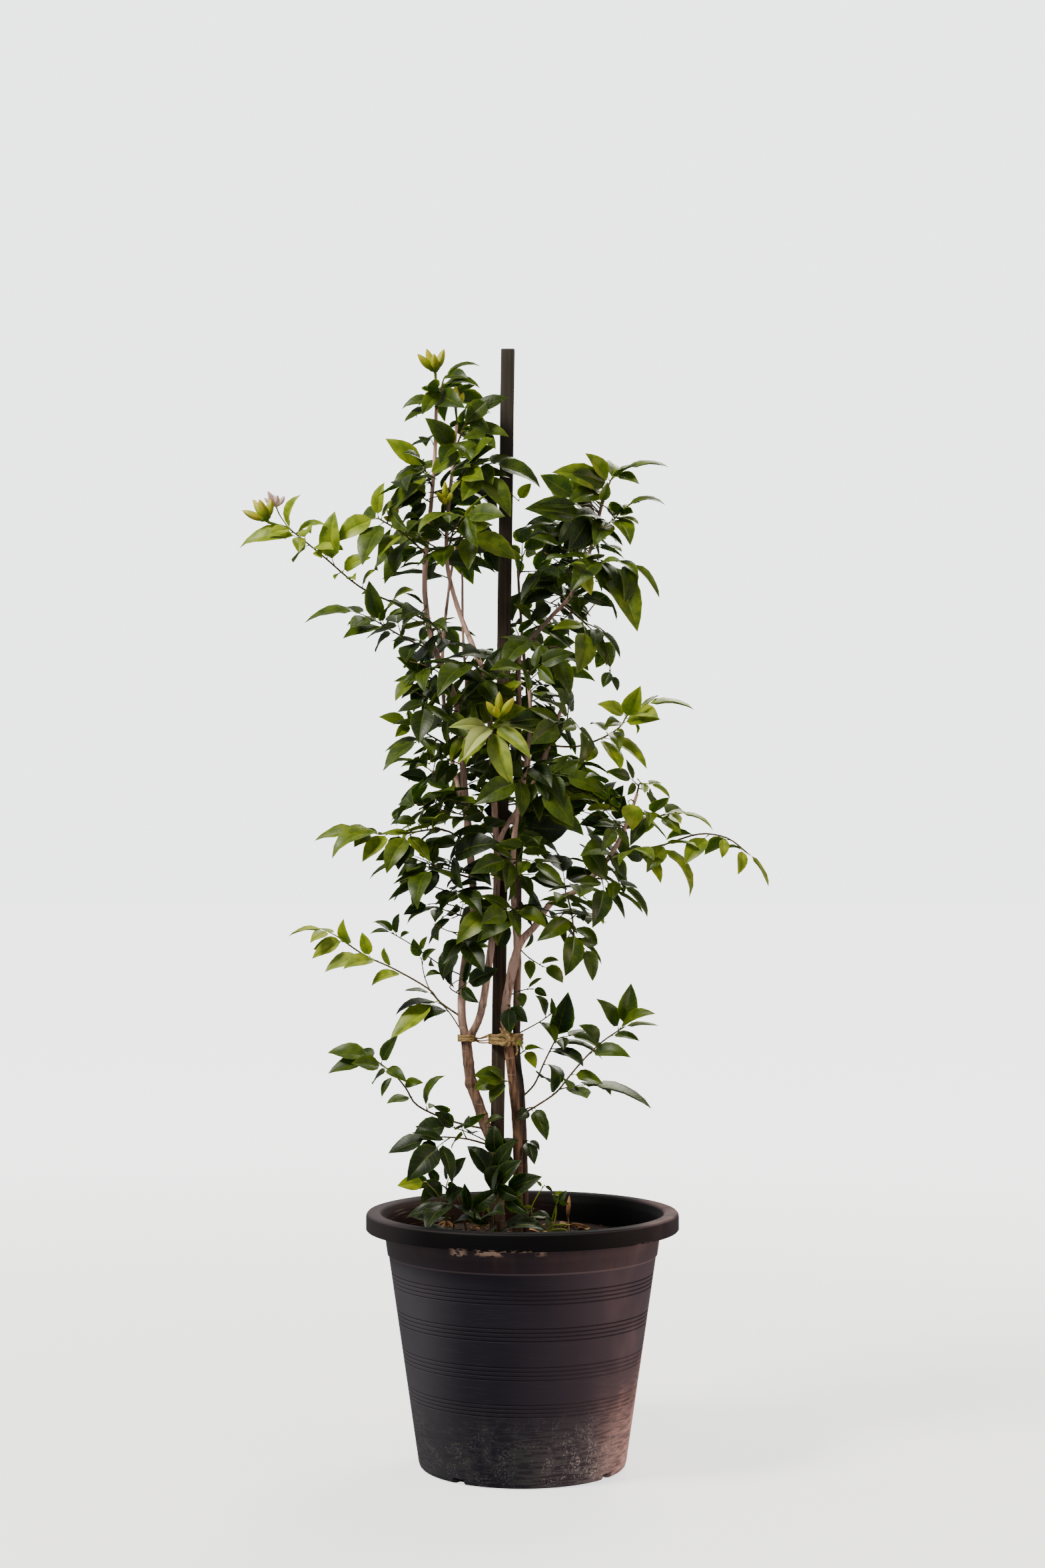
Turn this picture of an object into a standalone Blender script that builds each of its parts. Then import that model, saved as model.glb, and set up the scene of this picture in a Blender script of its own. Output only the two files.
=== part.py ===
"""Orange jasmine in a round nursery pot, tied to a square wooden stake.

Units are metres, +Z is up, and the origin is the centre of the pot's base. The tables below
give places and sizes in millimetres, seen from the front: X to the right, Y away from the
viewer, Z up. A point of a stem or twig is (x, y, z, radius).
"""

import math
import random

import bpy
from mathutils import Matrix, Vector
from mathutils.bvhtree import BVHTree

MM = 0.001
CLEARANCE = 0.3  # gap between pieces that touch on the real plant

POT_HEIGHT = 260.0
RIM_RADIUS = 160.0
RIM_WIDTH = 15.5
RIM_DEPTH = 18.0
WALL_TOP_RADIUS = 140.5
BASE_RADIUS = 105.5
BASE_ROUNDING = 6.0
WALL = 3.0
LEDGE_HEIGHT = 216.0
LEDGE_STEP = 1.2
GROOVE_BANDS = ((185, 201), (148, 164), (109, 125))
GROOVE_DEPTH = 0.9
DRAIN_NOTCHES = 4
DRAIN_TURN = math.radians(53)  # where the first notch is, from +X
DRAIN_SIZE = (14.0, 12.0, 6.5)
POT_SIDES = 28

SOIL_HEIGHT = 232.0
SOIL_UNEVENNESS = 2.0
HOLE_DEPTH = 32.0
WEED_ROUTE = ((26, -62, 220, 1.0), (26, -62, 246, 1.0), (30, -64, 262, 0.8), (34, -66, 276, 0.7))
STEM_SIDES = 5

STAKE_WIDTH = 14.0
STAKE_TOP = (-15.0, 0.0, 1141.0)
STAKE_LEAN = 0.0132  # sideways shift for each millimetre of height

BLADE_THICKNESS = 0.75
RACHIS_HALF_WIDTH = 0.75
LEAFLET_WIDTH = 0.58  # of its length
LONE_LEAFLET_WIDTH = 0.46
STAR_LEAFLET_WIDTH = 0.33
LEAFLET_SPREAD = math.radians(62)
LEAF_SPACING = 2.4  # blade thickness used when looking for a free place
USUAL_LEAN = 0.6  # how far a leaf's face leans to the front
MOST_TRIES = 60

# Bark routes. The first point of a branch lies inside the stem that it forks from.
BRANCHES = {
    "left_trunk": (
        (-22, -18, 200, 6.5), (-26, -19, 298, 6.2), (-31, -18, 332, 6.0), (-39, -17, 352, 5.9),
        (-45, -15, 371, 5.8), (-52, -12, 391, 5.7), (-56, -9, 420, 5.6), (-58, -8, 441, 5.2),
    ),
    "left_high": (
        (-57, -8, 433, 4.4), (-62, -6, 460, 4.4), (-61, -2, 495, 4.3), (-56, 0, 534, 4.2),
        (-50, 2, 573, 4.0), (-54, 5, 630, 3.8), (-60, 6, 700, 3.6), (-66, 4, 770, 3.3),
        (-80, 0, 812, 3.1), (-92, 0, 840, 3.0), (-99, 3, 880, 2.8), (-100, 4, 920, 2.6),
        (-95, 4, 970, 2.3), (-90, 2, 1030, 2.0), (-88, 0, 1090, 1.7),
    ),
    "left_inner": (
        (-57, -8, 433, 4.2), (-44, -11, 458, 4.0), (-36, -14, 500, 3.8), (-30, -16, 550, 3.7),
        (-26, -16, 606, 3.5), (-29, -14, 680, 3.2), (-36, -13, 793, 2.9), (-48, -12, 830, 2.7),
        (-64, -9, 870, 2.5), (-76, -7, 915, 2.2), (-77, -9, 960, 2.0), (-71, -11, 1020, 1.7),
        (-67, -12, 1062, 1.5),
    ),
    "left_thin": (
        (-66, 4, 765, 1.8), (-58, 11, 795, 1.6), (-61, 12, 845, 1.4), (-62, 12, 915, 1.2),
    ),
    "left_back": (
        (-57, 5, 660, 2.6), (-68, 30, 700, 2.3), (-80, 54, 760, 2.1), (-84, 66, 830, 1.8),
        (-78, 72, 900, 1.5), (-70, 74, 950, 1.3),
    ),
    "cross": (
        (-27, -15, 628, 2.8), (-18, -18, 650, 2.6), (-1, -20, 676, 2.5), (16, -22, 706, 2.3),
        (30, -24, 745, 2.1), (42, -26, 780, 1.8),
    ),
    "centre": (
        (-5, -12, 200, 5.4), (-5, -12, 330, 5.0), (-9, -13, 384, 4.9), (-15, -15, 435, 4.8),
        (-17, -15, 466, 4.7), (-14, -15, 488, 4.6), (-4, -15, 531, 4.2), (13, -16, 552, 3.5),
        (30, -18, 576, 3.2), (52, -21, 586, 3.0), (69, -24, 600, 2.8), (88, -27, 622, 2.5),
        (104, -30, 652, 2.1), (116, -32, 686, 1.7),
    ),
    "centre_high": (
        (-5, -15, 527, 3.4), (-8, -20, 562, 3.1), (-10, -25, 605, 2.9), (-7, -30, 655, 2.6),
        (2, -36, 705, 2.3), (8, -40, 760, 2.0), (5, -42, 810, 1.7),
    ),
    "right": (
        (3, 3, 200, 4.4), (1, 3, 320, 4.2), (-2, 3, 384, 4.1), (-6, 5, 425, 4.0),
        (-5, 6, 530, 3.8), (-4, 5, 640, 3.5), (-4, 4, 780, 3.0), (-3, 3, 830, 2.7),
        (12, 0, 848, 2.4), (30, -4, 868, 2.2), (50, -6, 890, 2.0), (66, -6, 925, 1.8),
        (78, -5, 970, 1.8), (86, -5, 1000, 1.7),
    ),
    "right_back": (
        (-4, 5, 610, 2.7), (0, 28, 650, 2.4), (6, 56, 712, 2.2), (6, 76, 782, 2.0),
        (0, 86, 850, 1.7), (-5, 89, 925, 1.4),
    ),
}
STEMS = {
    "stem_left": ("left_trunk", "left_high", "left_inner", "left_thin", "left_back", "cross"),
    "stem_centre": ("centre", "centre_high"),
    "stem_right": ("right", "right_back"),
}

# Leafy shoots: the branch and height that the twig leaves from, or "soil" and the place of its
# foot, the twig's other points, and its compound leaves as (share of the twig, tip, leaflets). A
# fourth number is how far the leaf's face leans to the front.
SHOOTS = {
    "shoot_crown": ("left_high", 1078, ((-83, -9, 1100), (-80, -10, 1110)), (
        (1.0, (-49, -22, 1134), 1, 0.4), (0.8, (-44, -26, 1110), 1, 0.3), (0.7, (-101, -36, 1071), 1, 2.0),
        (0.3, (-126, -14, 1087), 1, 1.0), (0.15, (-121, -24, 1066), 1, 0.6), (0.6, (-80, 52, 1104), 3),
    )),
    "shoot_crown_right": ("left_inner", 1032, ((-60, -20, 1058), (-53, -24, 1068)), (
        (1.0, (-16, -34, 1092), 1, 0.8), (0.95, (-34, -50, 1050), 1, 1.5), (0.7, (-16, -52, 1056), 1, 0.6),
        (0.1, (-93, -46, 1066), 1, 2.5), (0.3, (-86, -54, 1020), 1, 2.0),
    )),
    "shoot_crown_left": ("left_high", 1000, ((-99, -14, 1016),), (
        (1.0, (-139, -28, 1047), 1, 1.5), (0.9, (-134, -38, 1006), 1, 0.8), (0.7, (-58, -48, 1032), 1, 1.5),
        (0.3, (-130, -44, 984), 1, 1.0), (0.6, (-120, 52, 1036), 3),
    )),
    "shoot_over_stake": ("left_inner", 990, ((-52, -30, 1018),), (
        (1.0, (24, -42, 1007), 3, 0.6), (0.9, (-2, -70, 976), 3), (0.6, (-44, -80, 1002), 3),
    )),
    "shoot_upper_front": ("left_inner", 930, ((-70, -40, 950), (-60, -60, 962)), (
        (1.0, (-108, -92, 954), 3), (0.9, (-20, -108, 962), 3), (0.6, (-4, -62, 924), 3),
    )),
    "shoot_back_crown": ("left_back", 935, ((-64, 88, 968),), (
        (1.0, (-16, 110, 994), 3), (0.9, (-112, 116, 984), 3), (0.5, (-58, 146, 926), 3),
    )),
    "shoot_back_left": ("left_back", 850, ((-98, 84, 872),), (
        (1.0, (-148, 114, 886), 3), (0.7, (-70, 146, 850), 3),
    )),
    "shoot_left_shoulder": ("left_high", 932, ((-120, -16, 950), (-146, -24, 965)), (
        (1.0, (-195, -36, 946), 1, 2.5), (1.0, (-145, -42, 1000), 1, 2.0), (0.9, (-162, -58, 916), 1, 0.8),
        (0.5, (-150, -60, 936), 1, 0.8),
    )),
    "shoot_left_arch": ("left_high", 862, (
        (-130, -10, 880), (-165, -20, 896), (-200, -24, 925), (-222, -26, 943), (-236, -26, 954),
    ), (
        (0.9, (-291, -34, 953), 1, 0.5), (0.98, (-240, -56, 984), 1, 1.0), (0.95, (-206, -46, 966), 1, 1.0),
        (0.66, (-196, -44, 973), 1, 2.0), (0.6, (-158, -44, 928), 1, 2.0), (0.82, (-190, -60, 934), 1, 1.0),
        (0.85, (-240, 10, 926), 1, 0.6), (0.52, (-172, -48, 908), 1, 1.0),
    )),
    "shoot_left_low": ("left_high", 832, ((-118, -10, 844), (-146, -18, 860)), (
        (1.0, (-225, -26, 873), 3, 0.5), (0.95, (-156, -40, 900), 1, 1.5), (0.85, (-180, -50, 848), 1, 0.8),
        (0.6, (-136, 54, 880), 3),
    )),
    "shoot_left_waist": ("left_high", 796, ((-102, -14, 808),), (
        (1.0, (-126, -38, 824), 1, 1.5), (0.9, (-130, -40, 782), 3, 1.2), (0.7, (-118, 56, 796), 3),
    )),
    "shoot_right_crown": ("right", 988, ((90, -12, 1006),), (
        (1.0, (150, -12, 1030), 3, 0.4), (0.9, (66, -38, 1030), 1, 2.0), (0.3, (36, -50, 1020), 1, 2.0),
        (0.1, (46, -56, 986), 1, 1.0),
    )),
    "shoot_right_upper": ("right", 952, ((94, -16, 966),), (
        (1.0, (144, -26, 994), 3), (0.9, (117, -44, 966), 1, 0.8), (0.8, (112, -60, 946), 1, 1.0),
        (0.5, (6, -64, 974), 3, 1.2),
    )),
    "shoot_right_wing": ("right", 912, ((82, -20, 922), (108, -30, 921)), (
        (1.0, (145, -38, 888), 1, 0.5), (0.5, (124, -66, 856), 1, 2.0), (0.75, (118, -50, 910), 1, 0.8),
        (0.5, (52, -84, 900), 3),
    )),
    "shoot_right_wing_back": ("right", 903, ((78, 30, 912),), (
        (1.0, (126, 56, 905), 3), (0.7, (56, 90, 940), 3),
    )),
    "shoot_right_mid": ("right", 880, ((54, -24, 868), (64, -34, 858)), (
        (1.0, (104, -44, 826), 3), (0.8, (64, -84, 808), 3),
    )),
    "shoot_right_inner": ("right", 846, ((20, -30, 834),), (
        (1.0, (54, -56, 788), 3), (0.7, (-22, -84, 822), 3),
    )),
    "shoot_back_top": ("right_back", 915, ((0, 98, 940),), (
        (1.0, (36, 120, 994), 3), (0.9, (-40, 140, 946), 3),
    )),
    "shoot_back_mid": ("right_back", 800, ((22, 104, 812),), (
        (1.0, (80, 124, 820), 3), (0.8, (-6, 160, 836), 3),
    )),
    "shoot_back_low": ("right_back", 690, ((24, 76, 700),), (
        (1.0, (90, 96, 706), 3), (0.7, (10, 138, 716), 3),
    )),
    "shoot_middle_star": ("left_inner", 745, ((-33, -44, 750), (-30, -66, 752)), (
        (0.92, (12, -98, 724), 1), (0.88, (-66, -84, 716), 1), (0.9, (-15, -100, 692), 1),
        (0.84, (-50, -112, 712), 1), (0.8, (-72, -78, 757), 1), (0.76, (20, -74, 750), 1),
    )),
    "shoot_middle_left": ("left_high", 728, ((-88, -14, 742), (-106, -20, 752)), (
        (1.0, (-144, -34, 768), 3), (0.8, (-88, -56, 792), 3), (0.7, (-140, -60, 714), 3),
    )),
    "shoot_middle_back": ("left_back", 700, ((-96, 56, 712),), (
        (1.0, (-148, 80, 730), 3), (0.8, (-84, 124, 702), 3),
    )),
    "shoot_middle_right": ("cross", 750, ((48, -42, 762),), (
        (1.0, (66, -68, 712), 3), (0.8, (10, -92, 738), 3),
    )),
    "shoot_right_bright": ("cross", 735, (
        (56, -26, 734), (82, -28, 743), (98, -30, 753), (105, -30, 764),
    ), (
        (1.0, (177, -32, 782), 3, 0.3), (1.0, (79, -52, 780), 1, 2.0), (0.97, (118, -62, 790), 1, 2.0),
        (0.9, (136, -50, 772), 1, 1.0), (0.62, (133, -44, 718), 1, 0.5), (0.8, (112, -40, 756), 1, 0.8),
    )),
    "shoot_right_tuft": ("centre", 684, ((118, -34, 696),), (
        (1.0, (152, -44, 686), 3), (0.8, (88, -62, 712), 3), (0.6, (142, 4, 680), 3),
    )),
    "shoot_right_reach": ("centre", 650, ((122, -34, 660), (142, -38, 664)), (
        (1.0, (197, -42, 661), 3, 0.1), (0.6, (128, -80, 664), 3), (0.5, (126, 24, 650), 3),
    )),
    "shoot_right_long": ("centre", 622, (
        (112, -28, 628), (142, -34, 634), (178, -38, 645), (206, -42, 641), (226, -44, 626),
    ), (
        (1.0, (253, -46, 594), 1, 0.3), (0.95, (220, -60, 606), 1, 1.0), (0.8, (202, -56, 622), 1, 1.5),
        (0.33, (186, -46, 592), 1, 0.5), (0.2, (142, -60, 602), 1, 1.0), (0.38, (175, -60, 642), 1, 0.2),
    )),
    "shoot_right_low": ("centre", 600, ((84, -40, 600),), (
        (1.0, (132, -54, 566), 3), (0.7, (76, -90, 558), 3), (0.5, (76, 34, 616), 3),
    )),
    "shoot_middle_front": ("centre_high", 700, ((12, -64, 704),), (
        (1.0, (84, -76, 692), 5), (0.8, (-44, -108, 680), 3), (0.6, (34, -116, 660), 3),
    )),
    "shoot_front_low": ("centre_high", 615, ((-2, -54, 620),), (
        (1.0, (42, -84, 596), 3), (0.8, (-50, -92, 612), 3), (0.6, (16, -104, 650), 3),
    )),
    "shoot_front_high": ("centre_high", 800, ((8, -64, 806),), (
        (1.0, (48, -92, 826), 3), (0.7, (-30, -104, 812), 3),
    )),
    "shoot_left_reach": ("left_high", 636, ((-82, -12, 650), (-112, -18, 647), (-146, -22, 645)), (
        (1.0, (-214, -26, 645), 3, 0.3), (0.95, (-206, -50, 632), 1, 0.4), (0.9, (-160, -52, 620), 1, 2.0),
        (0.6, (-140, -66, 612), 3, 1.5),
    )),
    "shoot_left_mass": ("left_high", 600, ((-78, -20, 608), (-96, -36, 612)), (
        (1.0, (-158, -48, 614), 3), (0.8, (-112, -92, 588), 3), (0.5, (-142, 14, 584), 3),
    )),
    "shoot_left_round": ("left_high", 558, ((-76, 14, 566),), (
        (1.0, (-122, -6, 564), 3), (0.8, (-96, 64, 540), 3), (0.5, (-48, 60, 590), 3),
    )),
    "shoot_centre_big": ("left_inner", 575, ((-14, -38, 572), (-2, -46, 566)), (
        (1.0, (-47, -78, 545), 1, 2.0), (0.9, (24, -74, 560), 1, 1.5), (0.5, (-70, -68, 544), 3),
    )),
    "shoot_left_faint": ("left_high", 458, (
        (-84, -12, 474), (-96, -16, 488), (-130, -20, 508), (-160, -22, 522), (-186, -24, 540),
    ), (
        (1.0, (-240, -28, 550), 3, 0.3), (0.97, (-212, -46, 522), 1, 1.5), (0.8, (-200, -44, 508), 1, 0.8),
        (0.7, (-182, -50, 516), 1, 1.0), (0.2, (-136, -38, 438), 1, 0.6),
    )),
    "shoot_low_left": ("left_trunk", 345, (
        (-72, -22, 354), (-106, -28, 370), (-118, -30, 388), (-130, -31, 402), (-152, -32, 419),
    ), (
        (1.0, (-197, -38, 434), 1, 1.0), (1.0, (-198, -52, 411), 1, 0.6),
        (0.92, (-130, -48, 444), 1, 1.5), (0.88, (-120, -60, 404), 1, 0.6), (0.8, (-144, -40, 380), 1, 0.5),
        (0.45, (-90, -40, 408), 1, 0.4),
    )),
    "shoot_low_left_2": ("left_trunk", 328, ((-56, -42, 338), (-78, -52, 341)), (
        (1.0, (-136, -60, 326), 3), (0.9, (-124, -88, 298), 3), (0.6, (-60, -92, 366), 3),
    )),
    "shoot_low_right": ("right", 358, (
        (14, -10, 368), (34, -14, 382), (47, -16, 398), (64, -18, 418), (82, -20, 435), (101, -22, 448),
    ), (
        (1.0, (113, -36, 493), 1, 2.0), (0.97, (84, -46, 482), 1, 1.5), (1.0, (139, -26, 456), 1, 0.1),
        (0.98, (124, -56, 474), 1, 1.0), (0.36, (137, -26, 380), 3, 0.0), (0.1, (26, -32, 338), 1, 1.5),
    )),
    "shoot_low_right_2": ("right", 375, ((12, 10, 388), (22, 12, 410), (34, 14, 434)), (
        (1.0, (85, -6, 432), 3, 0.8), (1.0, (46, -16, 484), 1, 2.0), (0.95, (76, -26, 452), 1, 0.6),
        (0.85, (62, -30, 420), 1, 1.0),
    )),
    "shoot_droop_right": ("centre", 583, ((50, -38, 562), (52, -44, 542)), (
        (1.0, (78, -50, 498), 3, 0.8), (0.6, (18, -72, 542), 1, 2.0), (0.9, (48, -76, 506), 1, 1.0),
    )),
    "shoot_foot_left": ("soil", (-50, -34), ((-62, -42, 270), (-80, -50, 292)), (
        (1.0, (-122, -64, 300), 3), (0.95, (-86, -64, 336), 3), (0.7, (-98, -102, 268), 3),
        (0.6, (-34, -90, 286), 3),
    )),
    "shoot_foot_front": ("soil", (-26, -44), ((-28, -48, 284),), (
        (1.0, (-6, -84, 322), 3), (0.9, (-54, -84, 342), 3), (0.5, (20, -86, 264), 3),
    )),
}
TWIG_RADIUS = (1.4, 1.0)  # at its foot and at its tip
TWIG_SIDES = 3

# Clusters of plump buds: what carries the stalk, the stalk's end and the tips of the buds.
BUD_CLUSTERS = {
    "buds_crown": ("left_high", (-89, -3, 1116), (
        (-98, -6, 1141), (-80, -4, 1141), (-107, -14, 1134), (-90, -16, 1134), (-88, 8, 1132),
    )),
    "buds_inner": ("left_inner", (-68, -12, 1078), (
        (-77, -16, 1096), (-60, -18, 1094), (-68, -22, 1100), (-66, -2, 1096),
    )),
    "buds_left": ("shoot_left_arch", (-258, -27, 961), (
        (-284, -28, 973), (-274, -21, 985), (-266, -36, 983), (-255, -26, 986),
    )),
    "buds_middle": ("shoot_middle_star", (-24, -73, 759), (
        (-36, -84, 776), (-23, -78, 786), (-8, -82, 780), (-27, -95, 770),
    )),
}

BUD_WIDTH = 7.0

FALLEN_LEAVES = {
    "fallen_leaf_front": (8, -96, 30, 0.4),
    "fallen_leaf_left": (-62, -72, 36, 2.3),
    "fallen_leaf_right": (62, -74, 34, 5.4),
}

Z = Vector((0, 0, 1))
FRONT = Vector((0, -1, 0))


def clear_scene():
    for old in list(bpy.data.objects):
        bpy.data.objects.remove(old)


def make_material(name, colour, roughness):
    made = bpy.data.materials.new(name)
    made.use_nodes = True
    surface = made.node_tree.nodes["Principled BSDF"]
    surface.inputs["Base Color"].default_value = (*colour, 1)
    surface.inputs["Roughness"].default_value = roughness
    surface.inputs["Metallic"].default_value = 0
    return made


def make_object(name, points, faces, finish, where=None):
    """An object from points in millimetres. It goes in the collection where, or in the scene."""
    mesh = bpy.data.meshes.new(name)
    mesh.from_pydata([Vector(p) * MM for p in points], [], faces)
    mesh.materials.append(finish)
    made = bpy.data.objects.new(name, mesh)
    (where or bpy.context.scene.collection).objects.link(made)
    return made


def combine(target, others, operation, solver="MANIFOLD"):
    """Joins the collection's objects to the target, or cuts them from it, and removes them."""
    change = target.modifiers.new("Combine", "BOOLEAN")
    change.operation = operation
    change.solver = solver
    change.operand_type = "COLLECTION"
    change.collection = others
    with bpy.context.temp_override(object=target):
        bpy.ops.object.modifier_apply(modifier=change.name)
    remove_all(others)


def remove_all(collection):
    for spent in list(collection.objects):
        bpy.data.objects.remove(spent)
    bpy.data.collections.remove(collection)


def helper_collection(name):
    made = bpy.data.collections.new(name)
    bpy.context.scene.collection.children.link(made)
    return made


def turned(profile, sides):
    """Points and faces of a body turned about Z, from (radius, height) pairs that start and
    end on the axis and run up its outer side."""
    points = [(0, 0, profile[0][1])]
    rings = []
    for radius, height in profile[1:-1]:
        rings.append(len(points))
        for side in range(sides):
            turn = 2 * math.pi * side / sides
            points.append((radius * math.cos(turn), radius * math.sin(turn), height))
    points.append((0, 0, profile[-1][1]))
    faces = []
    for side in range(sides):
        after = (side + 1) % sides
        faces.append((0, rings[0] + after, rings[0] + side))
        for low, high in zip(rings, rings[1:]):
            faces.append((low + side, low + after, high + after, high + side))
        faces.append((rings[-1] + side, rings[-1] + after, len(points) - 1))
    return points, faces


def tube(route, sides, grow=0.0):
    """Points and faces of a rod along (x, y, z, radius) points. grow swells it all round."""
    centres = [Vector(p[:3]) for p in route]
    ways = [(b - a).normalized() for a, b in zip(centres, centres[1:])]
    tangents = [ways[0]] + [(a + b).normalized() for a, b in zip(ways, ways[1:])] + [ways[-1]]
    centres[0] = centres[0] - tangents[0] * grow
    centres[-1] = centres[-1] + tangents[-1] * grow
    across = tangents[0].orthogonal().normalized()
    points, faces = [], []
    for centre, tangent, row in zip(centres, tangents, route):
        across = (across - tangent * across.dot(tangent)).normalized()
        beside = tangent.cross(across)
        for side in range(sides):
            turn = 2 * math.pi * side / sides
            reach = across * math.cos(turn) + beside * math.sin(turn)
            points.append(centre + reach * (row[3] + grow))
    for ring in range(len(route) - 1):
        low, high = ring * sides, (ring + 1) * sides
        for side in range(sides):
            after = (side + 1) % sides
            faces.append((low + side, low + after, high + after, high + side))
    faces.append(tuple(reversed(range(sides))))
    faces.append(tuple(range(len(points) - sides, len(points))))
    return points, faces


def point_at(route, height):
    """The centre and radius of a branch where it passes this height."""
    for low, high in zip(route, route[1:]):
        if low[2] <= height <= high[2]:
            share = (height - low[2]) / (high[2] - low[2])
            return tuple(a + (b - a) * share for a, b in zip(low, high))
    return route[-1]


def point_along(route, share):
    """The point at this share of a route's length, and the way that the route runs there."""
    centres = [Vector(p[:3]) for p in route]
    lengths = [(b - a).length for a, b in zip(centres, centres[1:])]
    left = share * sum(lengths)
    for a, b, length in zip(centres, centres[1:], lengths):
        if left <= length:
            return a + (b - a) * (left / length), (b - a).normalized()
        left -= length
    return centres[-1], (centres[-1] - centres[-2]).normalized()


def thicken(points, triangles, thickness, tips=()):
    """A closed blade from an open sheet of triangles, split alike on both of its faces. At the
    pointed tips the two faces meet."""
    normals = [Vector((0, 0, 0)) for _ in points]
    edges = set()
    for a, b, c in triangles:
        normal = (points[b] - points[a]).cross(points[c] - points[a])
        for corner in (a, b, c):
            normals[corner] += normal
        edges |= {(a, b), (b, c), (c, a)}
    offsets = [n.normalized() * (thickness / 2) for n in normals]
    solid = [p if i in tips else p + offsets[i] for i, p in enumerate(points)]
    under = {}
    for i, p in enumerate(points):
        under[i] = i if i in tips else len(solid)
        if i not in tips:
            solid.append(p - offsets[i])
    faces = list(triangles) + [(under[c], under[b], under[a]) for a, b, c in triangles]
    for a, b in sorted(edges):
        if (b, a) not in edges:
            rim = ((a, under[a], under[b]), (a, under[b], b))
            faces += [corners for corners in rim if len(set(corners)) == 3]
    return solid, faces


def leaf_plan(leaflets):
    """Shares of a compound leaf's length: where its side leaflets sit, how long they are, where
    the stalk ends, and how long the end leaflet is."""
    bare, end = {1: (0.0, 0.1), 3: (0.15, 0.33), 5: (0.08, 0.43)}[leaflets]
    sides = leaflets - 1
    places = [bare + (end - 0.08 - bare) * i / (sides - 1) for i in range(sides)]
    last = 1 - end
    lengths = [last * (0.68 + 0.12 * i / (sides - 1)) for i in range(sides)]
    return places, lengths, end, last


def leaf_sheet(length, leaflets, bend, rng, lone_width, start=0.0):
    """The open sheet of one compound leaf along +X: a narrow stalk with alternate folded
    leaflets and one at its end. It curves down through the angle bend."""
    places, lengths, end, last = leaf_plan(leaflets)
    half = RACHIS_HALF_WIDTH
    wide = lone_width if leaflets == 1 else LEAFLET_WIDTH
    flat, triangles, tips = [], [], []
    chains = {1: [], -1: []}

    def add(x, y, rise=0.0):
        flat.append((x, y, rise))
        return len(flat) - 1

    def leaflet(left, right, base, way, size, full):
        """Adds one leaflet from its two foot points. A full one is folded and has a second pair
        of side points."""
        side = Vector((-way.y, way.x))
        droop = rng.uniform(0.04, 0.16) * size
        width = wide * size * rng.uniform(0.92, 1.08)

        def station(u, v, rise):
            spot = base + way * (u * size) + side * (v * width)
            return add(spot.x, spot.y, rise * size - droop * u * u)

        near_left, near_right = station(0.4, 0.5, 0), station(0.4, -0.5, 0)
        tip = station(1, 0, -0.02)
        tips.append(tip)
        if full:
            fold = station(0.42, 0, -0.07)
            far_left, far_right = station(0.72, 0.31, -0.01), station(0.72, -0.31, -0.01)
            triangles.extend((
                (left, right, fold), (right, near_right, fold), (left, fold, near_left),
                (fold, near_right, far_right), (fold, far_right, tip),
                (fold, tip, far_left), (fold, far_left, near_left),
            ))
        else:
            triangles.extend((
                (left, right, near_right), (left, near_right, near_left), (near_left, near_right, tip),
            ))

    for hand in (1, -1):
        chains[hand].append(add(start, half * hand))
    hand = rng.choice((1, -1))
    feet = []
    for place, share in zip(places, lengths):
        x = place * length
        foot = [add(x - 1.0, half * hand), add(x + 1.0, half * hand)]
        chains[hand] += foot
        feet.append((foot, x, hand, share * length))
        hand = -hand
    for hand in (1, -1):
        chains[hand].append(add(end * length, half * hand))
    left, right = chains[1], chains[-1]
    i = j = 0
    while i < len(left) - 1 or j < len(right) - 1:
        left_next = j == len(right) - 1
        if not left_next and i < len(left) - 1:
            left_next = flat[left[i + 1]][0] <= flat[right[j + 1]][0]
        if left_next:
            triangles.append((right[j], left[i + 1], left[i]))
            i += 1
        else:
            triangles.append((right[j], right[j + 1], left[i]))
            j += 1
    for foot, x, hand, size in feet:
        turn = LEAFLET_SPREAD + rng.uniform(-0.07, 0.07)
        way = Vector((math.cos(turn), math.sin(turn) * hand))
        ends = foot if hand == 1 else foot[::-1]
        leaflet(*ends, Vector((x, half * hand)), way, size, False)
    leaflet(left[-1], right[-1], Vector((end * length, 0)), Vector((1, 0)), last * length, True)
    points = []
    for x, y, rise in flat:
        angle = bend * x / length
        reach = length / bend
        points.append(Vector((
            reach * math.sin(angle) + rise * math.sin(angle), y,
            -reach * (1 - math.cos(angle)) + rise * math.cos(angle),
        )))
    return points, triangles, tips


def leaf_place(foot, tip, roll, bend, lean):
    """The matrix that sets a leaf made along +X so that it runs from its foot to its tip. Its
    face looks up and outwards and, in the front half of the plant, towards the front too."""
    way = (tip - foot).normalized()
    outward = Vector((foot.x + 25, foot.y, 0)).normalized()
    face = Z + outward * 0.55 + FRONT * (lean if foot.y < 40 else 0)
    face = (face - way * face.dot(way)).normalized()
    face = Matrix.Rotation(roll, 3, way) @ face
    across = face.cross(way)
    turn = Matrix.Rotation(-bend / 2, 3, across)
    way, face = turn @ way, turn @ face
    axes = Matrix((way, face.cross(way), face)).transposed()
    return Matrix.Translation(foot) @ axes.to_4x4()


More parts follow.
